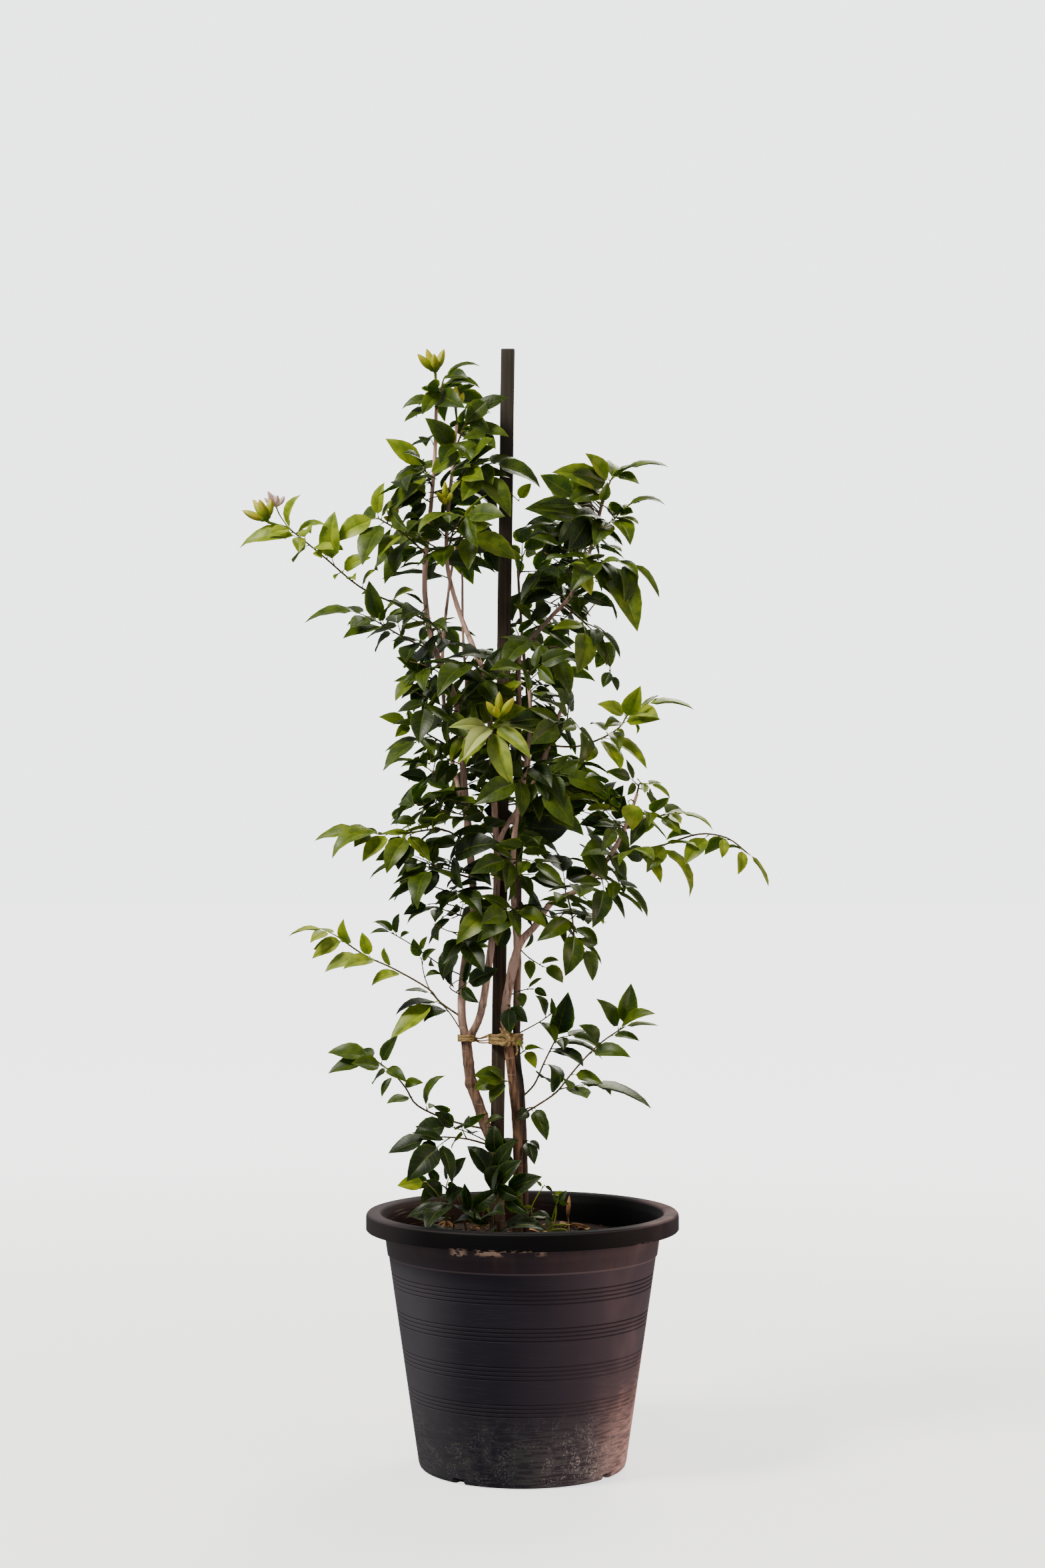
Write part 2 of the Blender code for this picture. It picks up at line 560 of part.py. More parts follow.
def grow_leaf(foot, tip, leaflets, seed, taken, lone_width, lean=None):
    """Points and faces of one leaf that is clear of all that is taken. A leaf that would cross
    something is rolled, then bent aside, then shortened, by a seeded rule."""
    rng = random.Random(seed)
    wish = tip - foot
    loose = 0.5 if lean is None else 0.15
    for attempt in range(MOST_TRIES):
        swing = math.radians(1.1 * attempt)
        turn = Matrix.Rotation(rng.uniform(-swing, swing), 3, "Z")
        turn = turn @ Matrix.Rotation(rng.uniform(-swing, swing), 3, wish.orthogonal().normalized())
        chord = turn @ wish * (1 - 0.25 * attempt / MOST_TRIES)
        roll = rng.uniform(-loose, loose) * (1 + attempt / 20)
        bend = rng.uniform(0.45, 0.95)
        length = chord.length * (bend / 2) / math.sin(bend / 2)
        place = leaf_place(foot, foot + chord, roll, bend, USUAL_LEAN if lean is None else lean)
        shape_seed = rng.random()
        sheet = leaf_sheet(length, leaflets, bend, random.Random(shape_seed), lone_width, 8.0)
        points, faces = thicken([place @ p for p in sheet[0]], sheet[1], LEAF_SPACING)
        tree = BVHTree.FromPolygons(points, faces)
        if any(tree.overlap(other) for other in taken):
            continue
        sheet = leaf_sheet(length, leaflets, bend, random.Random(shape_seed), lone_width)
        points, faces = thicken([place @ p for p in sheet[0]], sheet[1], BLADE_THICKNESS, sheet[2])
        taken.append(BVHTree.FromPolygons(points, faces))
        return points, faces
    return None


def pot_profile():
    """The pot in section, from the middle of its base up the outer wall, round the turned-down
    rim and back down the inside to the middle of its floor."""
    wall_top = POT_HEIGHT - RIM_DEPTH
    slope = (WALL_TOP_RADIUS - BASE_RADIUS) / wall_top

    def wall(height, inset=0.0):
        return BASE_RADIUS + slope * height - inset, height

    corner = BASE_ROUNDING
    outer = [(0, 0), (BASE_RADIUS - corner, 0), (BASE_RADIUS - corner * 0.3, corner * 0.3)]
    outer.append(wall(corner))
    for low, high in sorted(GROOVE_BANDS):
        outer += [wall(low), wall((low + high) / 2, GROOVE_DEPTH), wall(high)]
    outer += [wall(LEDGE_HEIGHT), wall(LEDGE_HEIGHT + 1, -LEDGE_STEP), wall(POT_HEIGHT - 4)]
    inner_edge = RIM_RADIUS - RIM_WIDTH
    rim = [
        (RIM_RADIUS - WALL, POT_HEIGHT - 4), (RIM_RADIUS - WALL, wall_top),
        (RIM_RADIUS - 0.6, wall_top), (RIM_RADIUS, POT_HEIGHT - 4), (RIM_RADIUS - 2.5, POT_HEIGHT),
        (inner_edge, POT_HEIGHT),
    ]
    inside = [(wall(POT_HEIGHT - 8)[0] - WALL, POT_HEIGHT - 8), wall(WALL, WALL), (0, WALL)]
    return outer + rim + inside


def make_pot(finish):
    points, faces = turned(pot_profile(), POT_SIDES)
    pot = make_object("pot", points, faces, finish)
    cutters = helper_collection("drain notches")
    wide, deep, high = DRAIN_SIZE
    for notch in range(DRAIN_NOTCHES):
        turn = DRAIN_TURN + 2 * math.pi * notch / DRAIN_NOTCHES
        bpy.ops.mesh.primitive_cube_add(size=MM, location=(0, 0, 0))
        cutter = bpy.context.object
        cutter.data.transform(Matrix.Diagonal((deep * 2, wide, high * 2, 1)))
        cutter.data.transform(Matrix.Translation((BASE_RADIUS * MM, 0, 0)))
        cutter.data.transform(Matrix.Rotation(turn, 4, "Z"))
        for other in list(cutter.users_collection):
            other.objects.unlink(cutter)
        cutters.objects.link(cutter)
    combine(pot, cutters, "DIFFERENCE", "EXACT")
    return pot


def soil_ground(x, y):
    """The height of the soil's uneven top."""
    return SOIL_HEIGHT + SOIL_UNEVENNESS * math.sin(x / 23) * math.cos(y / 19 + 1)


def make_soil(finish, holes):
    """The root ball fills the pot. Its top is a little uneven, with a plain hole for each stem."""
    slope = (WALL_TOP_RADIUS - BASE_RADIUS) / (POT_HEIGHT - RIM_DEPTH)
    inset = WALL + CLEARANCE + 0.4

    def radius(height):
        return BASE_RADIUS + slope * height - inset

    floor = WALL + CLEARANCE
    edge = SOIL_HEIGHT - SOIL_UNEVENNESS
    profile = [(0, floor), (radius(floor), floor), (radius(edge), edge)]
    profile += [(radius(edge) * share, edge) for share in (0.66, 0.3)] + [(0, edge)]
    points, faces = turned(profile, POT_SIDES // 2)
    level = [
        (x, y, soil_ground(x, y) if z > edge - 1 and math.hypot(x, y) < radius(edge) - 1 else z)
        for x, y, z in points
    ]
    soil = make_object("soil", level, faces, finish)
    combine(soil, holes, "DIFFERENCE")
    return soil


def make_stake(finish):
    """A sawn square stake. It leans a little and stands in the soil."""
    bpy.ops.mesh.primitive_cube_add(size=1)
    stake = bpy.context.object
    stake.name = "stake"
    low = SOIL_HEIGHT - HOLE_DEPTH
    top = STAKE_TOP[2]
    stake.data.transform(Matrix.Diagonal((STAKE_WIDTH, STAKE_WIDTH, top - low, 1)))
    lean = Matrix.Identity(4)
    lean[0][2] = STAKE_LEAN
    middle = (top + low) / 2
    place = Matrix.Translation((STAKE_TOP[0] - STAKE_LEAN * (top - middle), 0, middle))
    stake.data.transform(Matrix.Scale(MM, 4) @ place @ lean)
    stake.data.materials.append(finish)
    return stake


def stake_x(height):
    return STAKE_TOP[0] - STAKE_LEAN * (STAKE_TOP[2] - height)


def swollen_stake(where):
    """The stake with the clearance all round, as a cutter."""
    reach = STAKE_WIDTH / 2 + CLEARANCE
    low, high = SOIL_HEIGHT - HOLE_DEPTH - CLEARANCE, STAKE_TOP[2] + CLEARANCE
    corners = ((-1, -1), (1, -1), (1, 1), (-1, 1))
    points = [(stake_x(z) + x * reach, y * reach, z) for z in (low, high) for x, y in corners]
    faces = [(3, 2, 1, 0), (4, 5, 6, 7)]
    faces += [(i, (i + 1) % 4, (i + 1) % 4 + 4, i + 4) for i in range(4)]
    return make_object("stake cutter", points, faces, None, where)


def swollen_stems(where):
    for name, route in BRANCHES.items():
        make_object("cutter " + name, *tube(route, STEM_SIDES, CLEARANCE), None, where)


def make_stem(name, branches, finish):
    first = make_object(name, *tube(BRANCHES[branches[0]], STEM_SIDES), finish)
    others = helper_collection(name + " branches")
    for branch in branches[1:]:
        make_object(branch, *tube(BRANCHES[branch], STEM_SIDES), finish, others)
    combine(first, others, "UNION")
    return first


# The twine passes these places, from above, round the stake and the two stems beside it.
TWINE_ROUND_STAKE = (
    (-33.2, -8.8), (-33.2, 8.8), (-26, 12), (-6, 12.5), (-0.2, 8), (-0.8, -2), (-8, -19.5),
    (-15, -22), (-22, -19.5),
)
TWINE_RADIUS = 1.3


def around_stake(height):
    """One turn of twine, as route points. It sags a little towards the back."""
    return [(x, y, height - y * 0.03, TWINE_RADIUS) for x, y in TWINE_ROUND_STAKE]


def around_stem(height):
    """One turn of twine round the left stem."""
    turns = [2 * math.pi * step / 8 for step in range(8)]
    return [(-57 + 8.6 * math.cos(t), -8.3 + 8 * math.sin(t), height, 1.8) for t in turns]


def make_twine(finish):
    """Raffia twine: turns round the stake and stems, a knot, a pair of strings and a loop
    round the left stem."""
    heights = (433.0, 439.0)
    low, high = heights
    first = make_object("twine_tie", *closed_loop(around_stake(low), 4), finish)
    others = helper_collection("twine")
    make_object("turn", *closed_loop(around_stake(high), 4), finish, others)
    lash = [(-33.2, -8.8, low - 1, 1.4), (-33.4, -8.9, high + 1.5, 1.4)]
    make_object("lash", *tube(lash, 4), finish, others)
    for start, stop in ((low, low + 2), (high, high - 1)):
        string = [(-33, -8.8, start, 0.8), (-42, -9.5, start - 0.5, 0.7), (-50.5, -9, stop, 0.8)]
        make_object("string", *tube(string, 3), finish, others)
    make_object("stem turn", *closed_loop(around_stem(low + 3.5), 4), finish, others)
    lash = [(-49, -9.4, low + 1, 1.3), (-49, -9.4, high, 1.3)]
    make_object("stem lash", *tube(lash, 4), finish, others)
    knot = [(-24, -18, 437, 1.6), (-19, -23, 434, 2.8), (-12, -24, 439, 3.2), (-5, -17, 437, 1.6)]
    make_object("knot", *tube(knot, 5), finish, others)
    end = [(-20, -22, 436, 1.4), (-22, -23.5, 441, 1.0), (-21.5, -23, 446.5, 0.7)]
    make_object("loose end", *tube(end, 4), finish, others)
    combine(first, others, "UNION")
    cutters = helper_collection("twine clearance")
    swollen_stems(cutters)
    swollen_stake(cutters)
    combine(first, cutters, "DIFFERENCE")
    return first


def closed_loop(route, sides):
    """Points and faces of a rod whose end meets its start, round a loop that lies about level."""
    count = len(route)
    points, faces = [], []
    for index, row in enumerate(route):
        centre = Vector(row[:3])
        before, after = Vector(route[index - 1][:3]), Vector(route[(index + 1) % count][:3])
        tangent = (after - before).normalized()
        across = tangent.cross(Z).normalized()
        for side in range(sides):
            turn = 2 * math.pi * side / sides
            points.append(centre + (across * math.cos(turn) + Z * math.sin(turn)) * row[3])
    for ring in range(count):
        low, high = ring * sides, ((ring + 1) % count) * sides
        for side in range(sides):
            after = (side + 1) % sides
            faces.append((low + side, high + side, high + after, low + after))
    return points, faces


def shoot_route(name):
    """The points of a shoot's twig, tapering from its foot to its tip."""
    branch, start, others, _ = SHOOTS[name]
    if branch == "soil":
        first = (*start, SOIL_HEIGHT - HOLE_DEPTH)
    else:
        first = point_at(BRANCHES[branch], start)[:3]
    places = [first, *others]
    thick, thin = TWIG_RADIUS
    last = len(places) - 1
    return [(*p, thick + (thin - thick) * i / last) for i, p in enumerate(places)]


def bud(foot, tip, width):
    """A plump bud: a narrow foot that swells and draws in again to its pointed tip."""
    way = tip - foot
    stations = ((0.0, 0.35), (0.4, 0.9), (0.65, 1.0), (1.0, 0.12))
    return tube([(*(foot + way * share), width / 2 * size) for share, size in stations], 4)


def make_buds(name, finish):
    """A cluster of buds on one stalk, as one body."""
    carrier, hub, tips = BUD_CLUSTERS[name]
    hub = Vector(hub)
    if carrier in BRANCHES:
        foot, way = point_along(BRANCHES[carrier], 1)
    else:
        end, way = point_along(shoot_route(carrier), 1)
        foot = end + way * CLEARANCE
    thick = TWIG_RADIUS[1]
    rise = (hub - foot).normalized()
    stalk = [(*foot, thick), (*(foot + way * 2), thick), (*hub, 1.1), (*(hub + rise * 1.5), 1.3)]
    cluster = make_object(name, *tube(stalk, 4), finish)
    others = helper_collection(name + " buds")
    for tip in tips:
        make_object("bud", *bud(hub, Vector(tip), BUD_WIDTH), finish, others)
    combine(cluster, others, "UNION")
    if carrier in BRANCHES:
        cutters = helper_collection(name + " seat")
        make_object("seat", *tube(BRANCHES[carrier], STEM_SIDES, CLEARANCE), None, cutters)
        combine(cluster, cutters, "DIFFERENCE")
    return cluster


def make_fallen_leaf(name, finish, ground):
    """A dry leaflet that lies curled on the soil, just clear of its surface."""
    x, y, size, turn = FALLEN_LEAVES[name]
    width = LEAFLET_WIDTH * size
    flat = (
        (0, 0.6, 2.4), (0, -0.6, 2.4), (0.42 * size, 0, 0.0), (0.36 * size, width / 2, 3.0),
        (0.36 * size, -width / 2, 3.0), (0.72 * size, width * 0.31, 2.6),
        (0.72 * size, -width * 0.31, 2.6), (size, 0, 2.0),
    )
    triangles = (
        (0, 1, 2), (1, 4, 2), (0, 2, 3), (2, 4, 6), (2, 6, 7), (2, 7, 5), (2, 5, 3),
    )
    place = Matrix.Translation((x, y, 0)) @ Matrix.Rotation(turn, 4, "Z")
    points, faces = thicken([place @ Vector(p) for p in flat], triangles, 1.0)
    rises = [ground.ray_cast(Vector((p.x, p.y, 300)), -Z)[0].z - p.z for p in points]
    lift = Vector((0, 0, max(rises) + CLEARANCE))
    return make_object(name, [p + lift for p in points], faces, finish)


def make_weed(finish, taken):
    """A small weed sprout by the pot's front, in its own hole."""
    weed = make_object("weed_sprout", *tube(WEED_ROUTE, TWIG_SIDES), finish)
    others = helper_collection("weed leaves")
    for index, (share, tip) in enumerate(((0.98, (44, -74, 290)), (0.7, (4, -78, 266)))):
        foot, _ = point_along(WEED_ROUTE, share)
        grown = grow_leaf(foot, Vector(tip), 3, 900 + index, taken, LONE_LEAFLET_WIDTH)
        if grown:
            make_object("weed leaf", *grown, finish, others)
        else:
            print("no room for weed leaf", index)
    combine(weed, others, "UNION")
    return weed


def bounds_tree(made):
    """A search tree of an object's surface, in millimetres."""
    points = [made.matrix_world @ v.co / MM for v in made.data.vertices]
    return BVHTree.FromPolygons(points, [tuple(f.vertices) for f in made.data.polygons])


def make_shoot(name, index, finish, taken):
    """One leafy shoot: its twig and its compound leaves in one body, cut to sit on the bark."""
    branch, _, _, leaves = SHOOTS[name]
    twig = shoot_route(name)
    shoot = make_object(name, *tube(twig, TWIG_SIDES), finish)
    others = helper_collection(name + " leaves")
    width = STAR_LEAFLET_WIDTH if name == "shoot_middle_star" else LONE_LEAFLET_WIDTH
    for number, (share, tip, leaflets, *lean) in enumerate(leaves):
        foot, _ = point_along(twig, share)
        grown = grow_leaf(foot, Vector(tip), leaflets, index * 100 + number, taken, width, *lean)
        if grown:
            make_object("leaf", *grown, finish, others)
        else:
            print("no room for leaf", name, number)
    combine(shoot, others, "UNION")
    if branch != "soil":
        cutters = helper_collection(name + " seat")
        swollen_stems(cutters)
        combine(shoot, cutters, "DIFFERENCE")
    return shoot


def build():
    clear_scene()
    plastic = make_material("pot plastic", (0.045, 0.032, 0.036), 0.5)
    earth = make_material("potting soil", (0.035, 0.022, 0.015), 0.95)
    wood = make_material("stake wood", (0.06, 0.042, 0.032), 0.8)
    bark = make_material("bark", (0.28, 0.16, 0.09), 0.8)
    raffia = make_material("raffia", (0.42, 0.28, 0.11), 0.8)
    leaf = make_material("leaf", (0.06, 0.13, 0.015), 0.35)
    petal = make_material("bud", (0.62, 0.62, 0.16), 0.5)
    dry = make_material("dry leaf", (0.42, 0.17, 0.05), 0.8)

    pot = make_pot(plastic)
    stake = make_stake(wood)
    stems = [make_stem(name, branches, bark) for name, branches in STEMS.items()]
    twine = make_twine(raffia)
    buds = [make_buds(name, petal) for name in BUD_CLUSTERS]

    holes = helper_collection("holes")
    swollen_stems(holes)
    swollen_stake(holes)
    for name, row in SHOOTS.items():
        if row[0] == "soil":
            make_object("hole", *tube(shoot_route(name), 6, CLEARANCE * 2), None, holes)
    make_object("weed hole", *tube(WEED_ROUTE, 6, CLEARANCE * 2), None, holes)
    soil = make_soil(earth, holes)
    ground = bounds_tree(soil)
    fallen = [make_fallen_leaf(name, dry, ground) for name in FALLEN_LEAVES]

    taken = [bounds_tree(piece) for piece in (pot, stake, twine, *stems, *buds, *fallen)]
    taken += [
        BVHTree.FromPolygons(*tube(shoot_route(name), TWIG_SIDES, CLEARANCE)) for name in SHOOTS
    ]
    level = SOIL_HEIGHT + SOIL_UNEVENNESS + 2
    corners = [(-200, -200, level), (200, -200, level), (200, 200, level), (-200, 200, level)]
    taken.append(BVHTree.FromPolygons(corners, [(0, 1, 2, 3)]))
    for index, name in enumerate(SHOOTS):
        make_shoot(name, index, leaf, taken)
    make_weed(leaf, taken)


build()
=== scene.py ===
"""The looks of a potted orange jasmine, tied to a stake in a weathered nursery pot.

Lengths in the tables are millimetres, as seen from the front: X right, Y away, Z up. Every
finished piece's object sits at the origin, with its place in its mesh, in metres.
"""

import math
import random

import bpy
import numpy as np
from mathutils import Matrix, Vector, noise
from mathutils.bvhtree import BVHTree


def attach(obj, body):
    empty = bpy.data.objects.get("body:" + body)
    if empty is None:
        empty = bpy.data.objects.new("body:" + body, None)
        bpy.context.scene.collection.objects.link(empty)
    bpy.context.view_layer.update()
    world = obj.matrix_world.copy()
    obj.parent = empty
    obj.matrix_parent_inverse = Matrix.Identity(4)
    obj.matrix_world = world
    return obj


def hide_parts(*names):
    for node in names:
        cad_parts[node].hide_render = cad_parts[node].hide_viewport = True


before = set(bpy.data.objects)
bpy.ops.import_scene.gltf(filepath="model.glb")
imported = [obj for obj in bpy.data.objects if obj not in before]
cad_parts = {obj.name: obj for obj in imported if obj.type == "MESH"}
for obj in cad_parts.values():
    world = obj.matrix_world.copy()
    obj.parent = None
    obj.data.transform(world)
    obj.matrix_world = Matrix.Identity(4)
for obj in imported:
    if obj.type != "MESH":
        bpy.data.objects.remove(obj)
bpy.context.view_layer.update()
MM = 0.001


# The camera stands level in front of the plant, at the height of the middle leaves, as the
# photographer did. A small upward shift keeps the stake straight.
CAMERA_PLACE = (0, -2.6, 0.624)
SENSOR_WIDTH = 36
FOCAL_LENGTH = 58.33
UPWARD_SHIFT = 0.0452
bpy.ops.object.camera_add(location=CAMERA_PLACE, rotation=(math.pi / 2, 0, 0))
camera = bpy.context.object
camera.data.sensor_width = SENSOR_WIDTH
camera.data.lens = FOCAL_LENGTH
camera.data.shift_y = UPWARD_SHIFT
bpy.context.scene.camera = camera


# A plain pale floor in a pale surround, lit on their own so that neither tints the plant: the floor glows by
# painted emission, more strongly away from the plant. The key, back and side soft boxes give the strong light
# and dark that it has outdoors.
FLOOR_SIZE = 60
FLOOR_COLOUR = (0.86, 0.86, 0.86, 1)
FLOOR_GLOW = (1.5, 3.1)  # how strongly the lit floor shines near the plant and far round it
FLOOR_GLOW_REACH = (0.1, 3.6)  # metres
SURROUND_COLOUR = (0.97, 0.985, 1.0, 1)
SURROUND_LIGHT = 0.38
SURROUND_SEEN = 3.4
# Each soft box: name, place, the point it looks at, size, power and colour.
SOFT_BOXES = (
    ("key", (-1.5, -1.1, 2.6), (0, 0, 0.75), 0.7, 92, (1.0, 0.97, 0.86)),
    ("back", (0.7, 1.7, 2.5), (0, 0, 0.8), 1.0, 56, (1.0, 0.97, 0.84)),
    ("side", (2.3, -0.7, 0.5), (0, 0, 0.25), 0.9, 24, (1.0, 0.74, 0.6)),
)


class Wire:
    """A value inside a material. Arithmetic on it adds Math nodes."""

    def __init__(self, paint, socket):
        self.paint = paint
        self.socket = socket

    def math(self, operation, first, second):
        return self.paint.node("ShaderNodeMath", {"operation": operation}, {0: first, 1: second})

    def __add__(self, other):
        return self.math("ADD", self, other)

    def __radd__(self, other):
        return self.math("ADD", other, self)

    def __sub__(self, other):
        return self.math("SUBTRACT", self, other)

    def __rsub__(self, other):
        return self.math("SUBTRACT", other, self)

    def __mul__(self, other):
        return self.math("MULTIPLY", self, other)

    def __rmul__(self, other):
        return self.math("MULTIPLY", other, self)

    def __abs__(self):
        return self.math("ABSOLUTE", self, 0)


class Paint:
    """One material. Its plain values are set when it is made, and show() feeds what varies."""

    def __init__(self, name, plain):
        self.material = bpy.data.materials.new(name)
        self.material.use_nodes = True
        self.tree = self.material.node_tree
        self.shader = self.tree.nodes["Principled BSDF"]
        for socket, value in plain.items():
            self.shader.inputs[socket].default_value = value

    def node(self, kind, settings=None, sockets=None, output=0):
        made = self.tree.nodes.new(kind)
        for name, value in (settings or {}).items():
            setattr(made, name, value)
        for name, value in (sockets or {}).items():
            self.feed(made.inputs[name], value)
        return Wire(self, made.outputs[output])

    def feed(self, socket, value):
        if isinstance(value, Wire):
            self.tree.links.new(value.socket, socket)
        else:
            socket.default_value = value

    def place(self, kind="Object"):
        return self.node("ShaderNodeTexCoord", output=kind)

    def split(self, vector):
        """The three numbers of a vector."""
        outputs = self.node("ShaderNodeSeparateXYZ", sockets={0: vector}).socket.node.outputs
        return [Wire(self, outputs[axis]) for axis in range(3)]

    def reach(self, vector):
        """How far a place is from the origin."""
        return self.node("ShaderNodeVectorMath", {"operation": "LENGTH"}, {0: vector}, 1)

    def attribute(self, name):
        return self.node("ShaderNodeAttribute", {"attribute_name": name}, output="Fac")

    def noise(self, scale, stretch=(1, 1, 1), detail=3.0):
        spot = self.node("ShaderNodeMapping", sockets={0: self.place(), "Scale": stretch})
        sockets = {"Vector": spot, "Scale": scale, "Detail": detail}
        return self.node("ShaderNodeTexNoise", sockets=sockets)

    def band(self, value, low, high):
        """0 where the value is at low, 1 where it is at high, and smooth between them."""
        settings = {"interpolation_type": "SMOOTHSTEP"}
        sockets = {"Value": value, "From Min": low, "From Max": high}
        return self.node("ShaderNodeMapRange", settings, sockets)

    def within(self, value, low, high, edge):
        """1 between low and high, and 0 outside them."""
        return self.band(value, low - edge, low + edge) * (1 - self.band(value, high - edge, high + edge))

    def mix(self, factor, first, second):
        first, second = ((*c, 1.0) if isinstance(c, tuple) else c for c in (first, second))
        return self.node("ShaderNodeMix", {"data_type": "RGBA"}, {0: factor, 6: first, 7: second}, 2)

    def coats(self, tint, *coats):
        """Lays (share, colour) coats over a first colour, one after the other."""
        for share, colour in coats:
            tint = self.mix(share, tint, colour)
        return tint

    def bump(self, height, distance, strength=1.0):
        sockets = {"Height": height, "Distance": distance, "Strength": strength}
        return self.node("ShaderNodeBump", sockets=sockets)

    def show(self, **wires):
        """Feeds the named shader sockets and returns the material."""
        for name, wire in wires.items():
            self.feed(self.shader.inputs[name.replace("_", " ").title()], wire)
        return self.material


def soft_light(name, place, aim, size, power, colour):
    """One square soft box that looks at a point."""
    turn = (Vector(aim) - Vector(place)).to_track_quat("-Z", "Y").to_euler()
    bpy.ops.object.light_add(type="AREA", location=place, rotation=turn)
    lamp = bpy.context.object
    lamp.name = name
    lamp.data.shape = "SQUARE"
    lamp.data.size = size
    lamp.data.energy = power
    lamp.data.color = colour


bpy.ops.mesh.primitive_plane_add(size=FLOOR_SIZE, location=(0, 0, 0))
floor = bpy.context.object
floor.name = "floor"
floor.visible_diffuse = False
floor.visible_glossy = False
# Painted light: the floor glows by its own emission, dimmer near the plant and brighter far round it.
pale = Paint("pale floor", {"Base Color": FLOOR_COLOUR, "Roughness": 0.9, "Emission Strength": 1.0})
away = pale.band(pale.reach(pale.place()), *FLOOR_GLOW_REACH)
near_glow, far_glow = ((glow,) * 3 for glow in FLOOR_GLOW)
floor.data.materials.append(pale.show(emission_color=pale.mix(away, near_glow, far_glow)))

surround = bpy.data.worlds.new("studio")
surround.use_nodes = True
sky = surround.node_tree
sky.nodes["Background"].inputs["Color"].default_value = SURROUND_COLOUR
seen = sky.nodes.new("ShaderNodeLightPath")
level = sky.nodes.new("ShaderNodeMapRange")
level.inputs["To Min"].default_value = SURROUND_LIGHT
level.inputs["To Max"].default_value = SURROUND_SEEN
sky.links.new(seen.outputs["Is Camera Ray"], level.inputs["Value"])
sky.links.new(level.outputs[0], sky.nodes["Background"].inputs["Strength"])
bpy.context.scene.world = surround
for box in SOFT_BOXES:
    soft_light(*box)


# The pot: a moulded nursery pot of dark recycled plastic, with a wide turned-down rim, a
# ledge, bands of grooves, drain notches, and worn, limy, scratched sides.
POT_HEIGHT = 260.0
RIM_DEPTH = 18.0
WALL_TOP_RADIUS = 140.5
BASE_RADIUS = 105.5
WALL = 3.0
FOOT_RINGS = ((99.5, 0), (103.6, 0.9), (105.4, 2.8))  # radius and height
# The rim's section, from under it, round its lip and down to the inside of the wall.
RIM_RINGS = (
    (145, 256), (155.5, 256), (157, 254.5), (157, 243), (157.6, 242), (159.2, 242), (160, 243),
    (160, 255), (159.5, 257.6), (158, 259.4), (155.8, 260), (148.5, 260), (146, 259.4),
    (144.5, 258), (140.2, 252.6), (138.9, 250),
)
INSIDE_HEIGHTS = (236, 200, 150, 90, 30, 8)
FLOOR_RINGS = ((98, 3.6), (90, 3))
LEDGE_HEIGHT = 216.0
LEDGE_DEPTH = 1.2
GROOVES = (
    73.5, 77.5, 81.5, 85.5, 110.5, 114.8, 119.1, 123.4,
    149.6, 153.8, 158, 162.2, 186.8, 191, 195.2, 199.4,
)
GROOVE_DEPTH = 0.5
GROOVE_HALF_WIDTHS = (0.9, 0.35)  # at its mouth and at its bottom
DRAIN_NOTCHES = 4
DRAIN_TURN = math.radians(53)
DRAIN_SIZE = (14.0, 12.0, 6.5)  # across, inwards and up
POT_SIDES = 144
# Where the rim has rubbed the wall below it down to pale plastic: from X, to X, from height, to
# height, in metres, and how strongly.
SCUFFS = (
    (-0.069, -0.056, 0.2325, 0.2425, 0.9), (-0.045, -0.02, 0.235, 0.2425, 1.0),
    (-0.02, 0.008, 0.2395, 0.2425, 0.9), (0.0145, 0.022, 0.2355, 0.241, 0.6),
    (0.112, 0.132, 0.2395, 0.2425, 0.4),
)


def only(piece):
    """Makes this piece the one that is selected and active."""
    bpy.ops.object.select_all(action="DESELECT")
    piece.select_set(True)
    bpy.context.view_layer.objects.active = piece


def apply_all(piece):
    """Applies a piece's modifiers, in order."""
    only(piece)
    for modifier in list(piece.modifiers):
        bpy.ops.object.modifier_apply(modifier=modifier.name)


def edit_all(piece, action, **settings):
    """Runs one edit-mode operator on the whole of a piece."""
    only(piece)
    bpy.ops.object.mode_set(mode="EDIT")
    bpy.ops.mesh.select_all(action="SELECT")
    action(**settings)
    bpy.ops.object.mode_set(mode="OBJECT")


def finish_piece(piece, name, paint, angle=30):
    """Names the piece, applies its place, gives it its finish and lets it ride on the part."""
    only(piece)
    bpy.ops.object.transform_apply(location=True, rotation=True, scale=True)
    bpy.ops.object.shade_smooth_by_angle(angle=math.radians(angle))
    piece.name = name
    piece.data.name = name
    piece.data.materials.clear()
    piece.data.materials.append(paint)
    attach(piece, "root")
    return piece


def turned_body(rings, sides):
    """A closed body turned about Z. One circle is extruded and resized through the rings, which
    are (radius, height) pairs, and its two open ends are filled."""
    radius, height = rings[0]
    bpy.ops.object.select_all(action="DESELECT")
    bpy.ops.mesh.primitive_circle_add(vertices=sides, radius=radius * MM, location=(0, 0, height * MM))
    body = bpy.context.object
    bpy.ops.object.transform_apply(location=True)
    bpy.ops.object.mode_set(mode="EDIT")
    bpy.ops.mesh.select_all(action="SELECT")
    for (before, low), (after, high) in zip(rings, rings[1:]):
        bpy.ops.mesh.extrude_edges_move(TRANSFORM_OT_translate={"value": (0, 0, (high - low) * MM)})
        size = after / before
        bpy.ops.transform.resize(value=(size, size, 1), center_override=(0, 0, high * MM))
    bpy.ops.object.mode_set(mode="OBJECT")
    edit_all(body, bpy.ops.mesh.fill_holes, sides=0)
    edit_all(body, bpy.ops.mesh.normals_make_consistent, inside=False)
    return body


WALL_SLOPE = (WALL_TOP_RADIUS - BASE_RADIUS) / (POT_HEIGHT - RIM_DEPTH)


def wall_radius(height, inset=0.0):
    """The pot's outer radius at a height."""
    return BASE_RADIUS + WALL_SLOPE * height - inset


